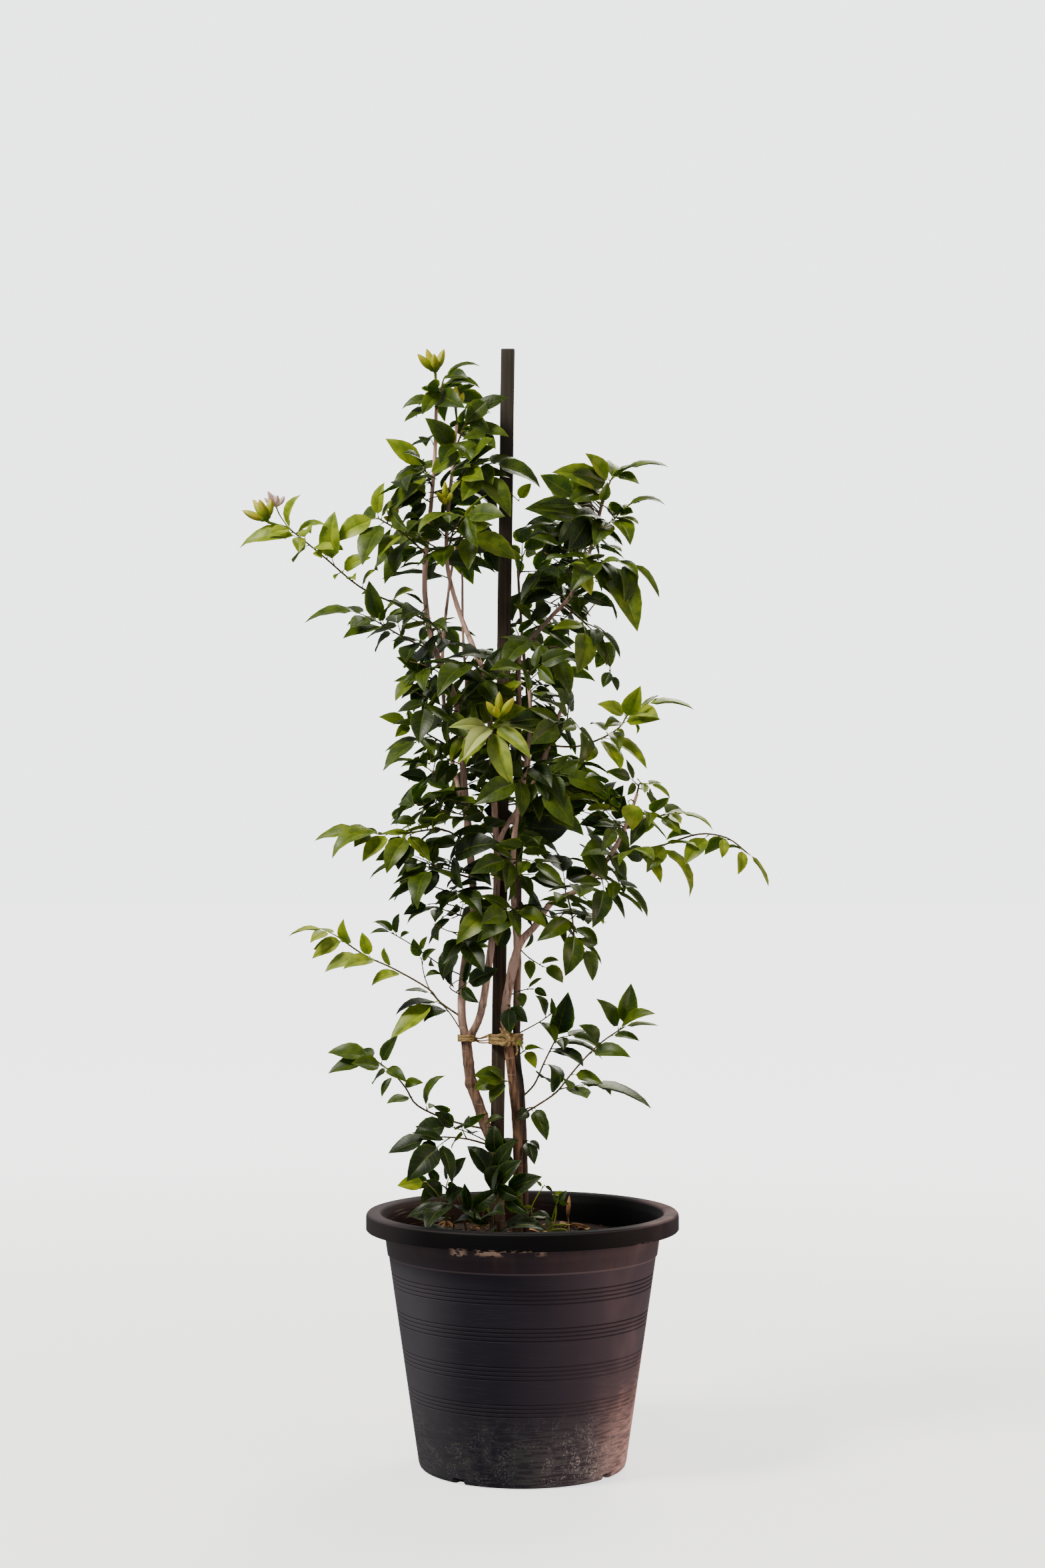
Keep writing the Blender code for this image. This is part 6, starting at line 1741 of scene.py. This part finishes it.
# Each is its foot, its tip, its width as a share of its length, its tone and its lean.
PLACED = (
    ((-34, -34, 1084), (-58, -46, 1061), 0.6, 0.4, 2), ((-33, -40, 1048), (-64, -50, 1039), 0.42, 0.4, 1),
    ((-100, -28, 1018), (-128, -36, 1010), 0.3, 0.2, 0.3),
    ((-96, -16, 1006), (-128, -26, 998), 0.35, 0.15, 0.6),
    ((-94, -8, 1004), (-131, -20, 990), 0.5, 0.15, 1.2), ((-92, -22, 992), (-130, -36, 975), 0.5, 0.16, 1.2),
    ((-96, -26, 984), (-114, -40, 956), 0.5, 0.2, 1.5), ((-4, -16, 984), (7, -24, 1003), 0.6, 0.75, 1.5),
    ((56, -34, 984), (17, -46, 1006), 0.55, 0.42, 2), ((60, -42, 976), (8, -50, 974), 0.25, 0.16, 0.5),
    ((78, -38, 978), (85, -48, 1001), 0.5, 0.5, 2), ((36, -28, 958), (3, -38, 966), 0.45, 0.14, 1.5),
    ((30, -38, 946), (6, -48, 958), 0.4, 0.2, 1.0), ((50, -50, 962), (34, -60, 934), 0.5, 0.1, 1.5),
    ((66, -20, 950), (36, -30, 930), 0.45, 0.12, 1.0), ((70, -28, 956), (109, -38, 947), 0.4, 0.15, 1),
    ((88, -24, 958), (114, -32, 967), 0.4, 0.75, 0.8), ((-38, -34, 931), (3, -42, 925), 0.4, 0.68, 1),
    ((40, -42, 932), (8, -52, 946), 0.5, 0.3, 1), ((20, -46, 918), (46, -54, 927), 0.4, 0.45, 0.8),
    ((52, -56, 917), (70, -66, 883), 0.5, 0.8, 1.5), ((44, -60, 912), (70, -68, 909), 0.4, 0.75, 0.8),
    ((40, 12, 906), (0, 4, 906), 0.55, 0.05, 2), ((38, 16, 892), (-5, 10, 888), 0.55, 0.04, 2),
    ((34, 14, 880), (3, 8, 867), 0.5, 0.08, 2), ((18, 20, 914), (44, 12, 889), 0.5, 0.05, 2),
    ((10, -10, 860), (-8, -20, 881), 0.5, 0.35, 1.5), ((74, -36, 900), (99, -46, 885), 0.5, 0.6, 1),
    ((78, -44, 915), (111, -54, 912), 0.42, 0.55, 0.8), ((84, -34, 886), (97, -42, 860), 0.2, 0.1, 0.4),
    ((58, -24, 851), (99, -34, 832), 0.42, 0.3, 1.2), ((38, -22, 859), (73, -32, 846), 0.4, 0.2, 1),
    ((46, -20, 830), (68, -30, 812), 0.45, 0.15, 1), ((-58, -24, 946), (-50, -34, 912), 0.5, 0.15, 1.5),
    ((-36, -22, 942), (-27, -32, 910), 0.5, 0.2, 1.5), ((-100, -12, 868), (-131, -20, 873), 0.22, 0.12, 0.3),
    ((-98, -14, 876), (-119, -24, 893), 0.3, 0.12, 0.4), ((-100, -16, 920), (-127, -26, 917), 0.28, 0.2, 0.5),
    ((-40, -24, 802), (-22, -34, 836), 0.4, 0.15, 1.5), ((-94, -26, 806), (-123, -36, 800), 0.42, 0.32, 1),
    ((-96, -28, 796), (-125, -38, 784), 0.4, 0.28, 1), ((-98, -16, 760), (-91, -26, 791), 0.4, 0.2, 2),
    ((-100, -26, 752), (-132, -36, 761), 0.3, 0.3, 0.6), ((-108, -24, 738), (-134, -34, 729), 0.4, 0.35, 1),
    ((-94, -26, 716), (-122, -36, 718), 0.35, 0.25, 0.8), ((-92, -30, 700), (-125, -40, 706), 0.5, 0.12, 1.5),
    ((-98, -26, 672), (-118, -36, 686), 0.4, 0.2, 1), ((-104, -28, 654), (-135, -38, 663), 0.42, 0.3, 1),
    ((106, -48, 678), (121, -66, 650), 0.75, 1.0, 3), ((-44, -56, 752), (-61, -68, 715), 0.45, 0.95, 1.5),
    ((58, -40, 635), (89, -50, 599), 0.58, 0.36, 2), ((20, -36, 684), (54, -46, 692), 0.3, 0.92, 0.4),
    ((42, -40, 677), (80, -50, 685), 0.3, 0.9, 0.4), ((60, -36, 668), (97, -46, 673), 0.34, 0.9, 0.5),
    ((60, -30, 660), (97, -40, 651), 0.5, 0.15, 1.5), ((24, -40, 664), (52, -50, 655), 0.45, 0.6, 1),
    ((84, -34, 600), (106, -44, 587), 0.35, 0.55, 0.6), ((90, -32, 588), (126, -42, 569), 0.25, 0.55, 0.4),
    ((62, -34, 581), (81, -44, 547), 0.45, 0.8, 1.2), ((46, -28, 541), (87, -38, 519), 0.3, 0.45, 0.6),
    ((36, -30, 560), (58, -40, 547), 0.4, 0.35, 1), ((-110, -30, 632), (-149, -42, 619), 0.44, 0.42, 1),
    ((-96, -30, 616), (-127, -40, 597), 0.45, 0.25, 1), ((-84, -28, 612), (-101, -38, 583), 0.5, 0.12, 1.5),
    ((-92, -24, 600), (-139, -34, 581), 0.3, 0.35, 0.6), ((-62, -20, 530), (-91, -30, 501), 0.62, 0.05, 2),
    ((-70, -18, 560), (-94, -28, 546), 0.45, 0.12, 1),
)
spur_sources = [point_along(route, share / 60)[0] for route in BRANCHES.values() for share in range(61)]
for name in SHOOTS:
    spur_sources += [point_along(shoot_route(name), share / 16)[0] for share in range(17)]
placed = Foliage()
draw = random.Random(77)
for number, (foot, tip, ratio, tone, lean) in enumerate(PLACED):
    foot, tip = Vector(foot), Vector(tip)
    found = free_leaf(
        foot, tip, 1, 9000 + number, FINE_TRIES, SPUR_SPACING, lone_width=ratio, lean=lean, loose=0.3)
    if found:
        dress_leaf(placed, found, tone, draw)
        source = min(spur_sources, key=lambda spot: (spot - foot).length)
        middle = (source + foot) / 2 + UP * 0.1 * (foot - source).length
        spur = zip((source, middle, foot), (SPUR_RADIUS[0], *SPUR_RADIUS))
        placed.add_rod(smooth_route([(*spot, radius) for spot, radius in spur], 4), 6, tone, 0.9)
finish_leaves(placed, "leaves_on_spurs")


# More leaves of the same kind fill the crown along its branches and twigs, each turned from the
# last by the golden angle, where there is room inside the crown's outline.
CROWN = (
    (1112, -110, -42), (1060, -132, -12), (1022, -134, 86), (985, -165, 108), (921, -170, 108),
    (857, -140, 98), (800, -126, 64), (752, -133, 56), (700, -133, 105), (656, -140, 128),
    (616, -150, 148), (584, -134, 112), (536, -98, 76), (470, -84, 40),
)
CROWN_DEPTH = (-112, 128)
TOP_GAP = (-32, 38)  # between the two tops, above TOP_GAP_LOW
TOP_GAP_LOW = 1026
# Where the stems and sky show through: left, right, low, high.
WINDOWS = ((-66, -22, 846, 924), (-130, -66, 878, 912), (-9, 12, 970, 1003))
GOLDEN_ANGLE = math.radians(137.5)
# Leafy side twigs where the crown is densest: the branch and height, and their other points.
FILL_TWIGS = {
    "top_middle": ("right", 930, ((46, -30, 956), (26, -40, 972))),
    "top_back": ("right", 950, ((50, 20, 965), (34, 24, 985))),
    "beside_stake": ("right", 878, ((22, 14, 886), (6, 18, 900))),
    "top_right": ("right", 972, ((64, -26, 982), (50, -36, 996))),
    "right_front": ("right", 940, ((70, -32, 950), (90, -42, 956))),
    "right_inner": ("right", 905, ((44, -36, 914), (22, -46, 928))),
    "upper_left": ("left_high", 985, ((-108, -24, 990), (-122, -32, 996))),
    "top_left": ("left_high", 1012, ((-108, 14, 1020), (-116, 18, 1030))),
    "mass_high": ("left_high", 840, ((-92, -34, 852), (-112, -44, 862))),
    "mass_middle": ("left_high", 800, ((-90, -36, 812), (-118, -44, 820))),
    "mass_low": ("left_high", 770, ((-88, -36, 778), (-112, -44, 790))),
    "mass_inner": ("left_inner", 800, ((-50, -30, 806), (-34, -38, 820))),
    "left_middle": ("left_high", 664, ((-92, -28, 672), (-122, -36, 680))),
    "left_low": ("left_high", 604, ((-92, -28, 614), (-132, -36, 628))),
    "left_lower": ("left_high", 575, ((-84, -26, 590), (-122, -32, 600))),
    "right_middle": ("centre", 652, ((78, -44, 664), (98, -48, 676))),
    "right_cross": ("cross", 700, ((52, -40, 690), (76, -46, 680))),
    "right_low": ("centre", 600, ((64, -34, 612), (102, -38, 622))),
    "left_foot": ("left_high", 545, ((-72, -26, 546), (-90, -32, 554))),
    "left_foot_low": ("left_high", 480, ((-74, -22, 490), (-60, -34, 500))),
}
# Passes of filling: the step along a branch, and the shortest and longest leaf.
FILL_PASSES = ((15, 66, 96), (11, 50, 74))
FILL_TRIES = 9
FILL_SPACING = 1.2
FILL_FLATNESS = 0.5
FILL_LEAN = 0.35
FILL_ROLL = 0.85
FILL_LOWEST = 545
RIGHT_FILL_LOWEST = 835
TWIG_FILL_LOWEST = 470
BRANCH_TONE = 0.2
# The right limb runs up bare in front from this X to this X, from this height, at 45 degrees:
# no leaf in front of this Y comes so near to it.
BARE_LIMB = (-6, 50, 836)
BARE_LIMB_FRONT = 2
BARE_LIMB_MARGIN = 9


def in_crown(spot):
    """Whether a point is inside the crown's outline, outside its gaps and off the bare limb."""
    x, y, z = spot
    if not CROWN[-1][0] < z < CROWN[0][0] or not CROWN_DEPTH[0] < y < CROWN_DEPTH[1]:
        return False
    if z > TOP_GAP_LOW and TOP_GAP[0] < x < TOP_GAP[1]:
        return False
    if any(left < x < right and low < z < high for left, right, low, high in WINDOWS):
        return False
    start, end, foot = BARE_LIMB
    if y < BARE_LIMB_FRONT and start < x < end and abs(z - foot - (x - start)) < BARE_LIMB_MARGIN:
        return False
    for (high, left, right), (low, left_low, right_low) in zip(CROWN, CROWN[1:]):
        if low <= z <= high:
            share = (high - z) / (high - low)
            return left + (left_low - left) * share < x < right + (right_low - right) * share
    return False


def fill_along(route, foliage, lowest, draw, base, step, shortest, longest):
    """Adds leaves to a branch or twig wherever there is room."""
    centres = [Vector(p[:3]) for p in route]
    length = sum((b - a).length for a, b in zip(centres, centres[1:]))
    turn = draw.uniform(0, 2 * math.pi)
    for stop in range(1, int(length / step) + 1):
        spot, way = point_along(route, stop * step / length)
        turn += GOLDEN_ANGLE
        if spot.z < lowest:
            continue
        across = way.orthogonal().normalized()
        out = Matrix.Rotation(turn, 3, way) @ across
        out.z *= FILL_FLATNESS
        aim = (out + way * draw.uniform(0.0, 0.5) + UP * draw.uniform(-0.45, 0.3)).normalized()
        tip = spot + aim * draw.uniform(shortest, longest)
        leaflets = draw.choice((3, 3, 5))
        found = free_leaf(
            spot, tip, leaflets, draw.random(), FILL_TRIES, FILL_SPACING, in_crown,
            lean=FILL_LEAN, loose=FILL_ROLL)
        if found:
            dress_leaf(foliage, found, leaf_tone(base, tip, draw), draw)


branch_pieces = {name: Foliage() for name in BRANCHES if name != "left_trunk"}
for index, (name, (branch, start, others)) in enumerate(FILL_TWIGS.items()):
    route = twig_route(branch, start, others, *SPRIG_RADIUS)
    draw = random.Random(2000 + index)
    foliage = branch_pieces["fill_" + name] = Foliage()
    foliage.add_rod(smooth_route(route, 4), 6, BRANCH_TONE, 0.9)
    for sizes in FILL_PASSES:
        fill_along(route, foliage, TWIG_FILL_LOWEST, draw, BRANCH_TONE, *sizes)
for number, sizes in enumerate(FILL_PASSES):
    for index, name in enumerate(BRANCHES):
        if name != "left_trunk":
            lowest = RIGHT_FILL_LOWEST if name == "right" else FILL_LOWEST
            draw = random.Random(3000 + 100 * number + index)
            fill_along(BRANCHES[name], branch_pieces[name], lowest, draw, BRANCH_TONE, *sizes)
    for index, (name, foliage) in enumerate(shoot_pieces.items()):
        base = BRIGHT_SHOOTS.get(name, PLAIN_TONE) - 0.06
        draw = random.Random(4000 + 100 * number + index)
        fill_along(shoot_route(name), foliage, FILL_LOWEST, draw, base, *sizes)
for name, foliage in branch_pieces.items():
    if foliage.count:
        finish_leaves(foliage, "leaves_on_" + name)
for name, foliage in shoot_pieces.items():
    leafy = finish_leaves(foliage, name + "_leaves")
    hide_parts(name)


# The buds: clusters of tubular yellow-green buds that stand on thin stalks at the tips of the
# branches and twigs, some nearly open.
BUD_WIDTH = 7.0
BUD_SIDES = 15
PETALS = 5
# Each cluster is the branch or shoot that carries it, its hub, and the tips of its buds.
BUD_CLUSTERS = {
    "buds_crown": ("left_high", (-89, -3, 1116), (
        (-98, -6, 1141), (-80, -4, 1141), (-107, -14, 1134), (-90, -16, 1134), (-88, 8, 1132),
    )),
    "buds_inner": ("left_inner", (-68, -12, 1078), (
        (-77, -16, 1096), (-60, -18, 1094), (-68, -22, 1100), (-66, -2, 1096),
    )),
    "buds_left": ("shoot_left_arch", (-258, -27, 961), (
        (-284, -28, 973), (-274, -21, 985), (-266, -36, 983), (-255, -26, 986),
    )),
    "buds_middle": ("shoot_middle_star", (-24, -73, 759), (
        (-36, -84, 776), (-23, -78, 786), (-8, -82, 780), (-27, -95, 770),
    )),
}
# Along a bud: share of its length, half width, and how deeply its five petals show.
BUD_STATIONS = (
    (0.0, 0.26, 0), (0.12, 0.24, 0), (0.16, 0.5, 0), (0.22, 0.62, 0.02), (0.27, 0.6, 0.02),
    (0.36, 0.86, 0.04), (0.48, 1.0, 0.06), (0.62, 0.98, 0.08), (0.76, 0.78, 0.11), (0.88, 0.48, 0.14),
    (0.96, 0.2, 0.12), (1.0, 0.05, 0),
)


def make_bud():
    """A bud of unit length and half width along +Z: stalk, calyx, and five folded petals."""
    rings = [(half / MM, share / MM) for share, half, _ in BUD_STATIONS]
    made = turned_body(rings, BUD_SIDES)
    for vertex in made.data.vertices:
        turn = math.atan2(vertex.co.y, vertex.co.x)
        for (low, _, before), (high, _, after) in zip(BUD_STATIONS, BUD_STATIONS[1:]):
            if low <= vertex.co.z <= high:
                depth = before + (after - before) * (vertex.co.z - low) / (high - low)
                size = 1 + depth * math.cos(PETALS * turn + 3 * vertex.co.z)
                vertex.co.x *= size
                vertex.co.y *= size
                break
    return made


bud_pattern = make_bud()
petal = Paint("bud petals", {
    "Roughness": 0.42, "Specular IOR Level": 0.3, "Subsurface Weight": 0.15,
    "Subsurface Radius": (0.004, 0.004, 0.0015), "Subsurface Scale": 0.4,
})
share = petal.attribute("share")
cloud = petal.noise(160, detail=3)
tint = petal.coats(
    petal.mix(petal.band(share, 0.2, 0.5), (0.1, 0.17, 0.008), (0.36, 0.4, 0.018)),
    (petal.band(share, 0.6, 1.0) * 0.8, (0.58, 0.5, 0.03)),
    (petal.band(cloud, 0.5, 0.7) * 0.4, (0.62, 0.3, 0.03)),
    (petal.band(share, 1.0, 1.3), (0.85, 0.62, 0.56)),
)
bud_paint = petal.show(base_color=tint, normal=petal.bump(petal.noise(500, detail=2), 0.0003))


def mark_share(piece, values):
    """Gives each point of a piece its share of the bud's length, which the paint reads."""
    marks = piece.data.attributes.new("share", "FLOAT", "POINT")
    marks.data.foreach_set("value", values)


def bud_cluster(stalk, tips, width, age=0.0):
    """Buds that stand out from the end of one stalk, as one mesh. At the age 1 they are the
    pale petals of an open flower."""
    branchlet = rod("stalk", smooth_route(stalk, 4), 8)
    mark_share(branchlet, [0.2] * len(branchlet.data.vertices))
    pieces = [branchlet]
    hub = Vector(stalk[-1][:3])
    for tip in tips:
        made = copy_of(bud_pattern)
        mark_share(made, [age + vertex.co.z for vertex in made.data.vertices])
        reach = Vector(tip) - hub
        turn = reach.to_track_quat("Z", "Y").to_matrix().to_4x4()
        size = Matrix.Diagonal((width / 2 * MM, width / 2 * MM, reach.length * MM, 1))
        made.data.transform(Matrix.Translation(hub * MM) @ turn @ size)
        pieces.append(made)
    return join(pieces)


for name, (carrier, hub, tips) in BUD_CLUSTERS.items():
    end, way = point_along(BRANCHES[carrier] if carrier in BRANCHES else shoot_route(carrier), 1)
    foot = end + way * CLEARANCE
    hub = Vector(hub)
    stalk = [(*foot, 1.2), (*(foot + way * 3), 1.2), (*((foot + hub) / 2 + way), 1.2), (*hub, 1.5)]
    cluster = bud_cluster(stalk, tips, BUD_WIDTH * 1.15)
    finish_piece(cluster, name.replace("buds_", "bud_cluster_"), bud_paint, angle=50)
    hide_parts(name)

# Smaller groups of young buds among the upper leaves: the branch and height, the stalk's other
# points and the tips of the buds.
SMALL_BUDS = {
    "front": ("left_inner", 962, ((-79, -22, 970), (-78, -32, 977)), (
        (-86, -38, 990), (-78, -40, 1001), (-71, -38, 990), (-80, -44, 984),
    )),
    "right": ("left_inner", 945, ((-66, -28, 952), (-57, -36, 962)), (
        (-51, -44, 976), (-44, -46, 970), (-54, -48, 970),
    )),
    "left": ("left_high", 940, ((-116, -10, 952), (-128, -16, 964)), (
        (-138, -22, 974), (-129, -24, 986), (-136, -18, 984), (-141, -26, 966),
    )),
}
for name, (branch, height, others, tips) in SMALL_BUDS.items():
    stalk = [(*point_at(BRANCHES[branch], height), 0.9)] + [(*p, 0.9) for p in others]
    cluster = bud_cluster(stalk, tips, BUD_WIDTH * 0.9)
    finish_piece(cluster, "small_buds_" + name, bud_paint, angle=50)
BLOOM_STALK = ((-236, -26, 954), (-246, -20, 968), (-250, -19, 977))
BLOOM_PETALS = (
    (-262, -24, 986), (-254, -12, 991), (-242, -16, 989), (-248, -30, 988), (-258, -30, 992),
)
bloom = bud_cluster([(*p, 0.7) for p in BLOOM_STALK], BLOOM_PETALS, BUD_WIDTH * 0.8, 1.0)
finish_piece(bloom, "open_flower", bud_paint, angle=50)
bpy.data.objects.remove(bud_pattern)


# Dry leaves lie curled on the soil where they fell: three larger ones and some smaller, from
# rusty brown to straw.
MORE_FALLEN = 9
MORE_FALLEN_REACH = 100
# Each larger one is its X, Y, length and turn.
FALLEN_LEAVES = {
    "fallen_leaf_front": (8, -96, 30, 0.4),
    "fallen_leaf_left": (-62, -72, 36, 2.3),
    "fallen_leaf_right": (62, -74, 34, 5.4),
}


def dry_leaf(draw, x, y, size, turn, lift, curl, variant):
    """A curled dry leaflet that lies on the soil."""
    points, faces, spots, under = LEAFLETS[variant]
    u, v, w = points.T
    width = LEAFLET_WIDTH * size
    rise = w * size + curl * (v * width) ** 2 / width + 0.09 * size * (u - 0.4) ** 2
    local = np.stack((u * size, v * width, rise))
    cosine, sine = math.cos(turn), math.sin(turn)
    spin = np.array(((cosine, -sine, 0), (sine, cosine, 0), (0, 0, 1)))
    world = (spin @ local).T + np.array((x, y, 0))
    rises = [on_soil(px, py).z / MM - pz for px, py, pz in world]
    world[:, 2] += max(rises) + lift
    foliage = Foliage()
    foliage.add(world * MM, faces, spots, under, draw.uniform(0.0, 1.0))
    return foliage.piece("dry leaf")


withered = Paint("dry leaf", {"Roughness": 0.7, "Specular IOR Level": 0.3})
tone = withered.attribute("tone")
blotch = withered.noise(170, detail=4)
tint = withered.mix(withered.band(blotch, 0.38, 0.62), (0.16, 0.055, 0.017), (0.42, 0.17, 0.05))
tint = withered.mix(withered.band(tone, 0.5, 0.9) * 0.8, tint, (0.5, 0.31, 0.09))
_, v, _ = withered.split(withered.place("UV"))
rib = 1 - withered.band(abs(v - 0.5) * 2, 0.03, 0.12)
tint = withered.mix(rib * 0.6, tint, (0.5, 0.3, 0.14))
crinkle = withered.noise(480, detail=3)
dry_paint = withered.show(base_color=tint, normal=withered.bump(crinkle + rib * -0.6, 0.0006))
for name, (x, y, size, turn) in FALLEN_LEAVES.items():
    blade = dry_leaf(draw, x, y, size, turn, 0.3, 0.5, 0)
    fallen = finish_piece(blade, "dry_" + name, dry_paint, angle=40)
    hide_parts(name)
litter = []
for number in range(MORE_FALLEN):
    x, y = scatter_spot(draw, MORE_FALLEN_REACH)
    size, turn, curl = draw.uniform(14, 27), draw.uniform(0, 6.3), draw.uniform(0.2, 0.9)
    litter.append(dry_leaf(draw, x, y, size, turn, 0.2, curl, number % 3))
finish_piece(join(litter), "dry_leaf_litter", dry_paint, angle=40)


# A dead reed stands in the soil, swollen near its tip. Straws and curled chips of bark lie
# loose round it.
REED = (
    (48, -26, 230, 0.6), (47, -27, 250, 0.6), (46, -27, 257, 0.8), (46, -28, 261, 1.8),
    (46.5, -28, 268, 2.2), (47, -28, 274, 1.6), (47.5, -28, 279, 0.4),
)
LOOSE_STRAWS = (
    ((44, 48, 236, 0.9), (56, 46, 240, 0.9), (70, 44, 236, 0.8)),
    ((38, 58, 235, 0.8), (54, 52, 238, 0.9), (66, 60, 235, 0.7)),
    ((6, 62, 234, 1.4), (2, 58, 238, 1.8), (-4, 62, 235, 1.2)),
    ((60, -30, 233, 0.8), (74, -34, 242, 0.8), (86, -30, 238, 0.7)),
    ((-84, 50, 235, 1.6), (-79, 54, 240, 2.2), (-72, 50, 236, 1.5)),
    ((-90, 60, 235, 1.2), (-82, 62, 239, 1.9), (-77, 58, 235, 1.2)),
    ((-52, 60, 235, 0.9), (-36, 56, 238, 0.9), (-22, 62, 235, 0.8)),
    ((20, 66, 235, 1.0), (30, 62, 238, 1.2), (40, 68, 235, 0.9)),
)
straw = [rod("reed", smooth_route(REED, 3), 9)]
straw += [rod("straw", smooth_route(route, 4), 6) for route in LOOSE_STRAWS]
finish_piece(join(straw), "dead_reed", straw_paint, angle=60)
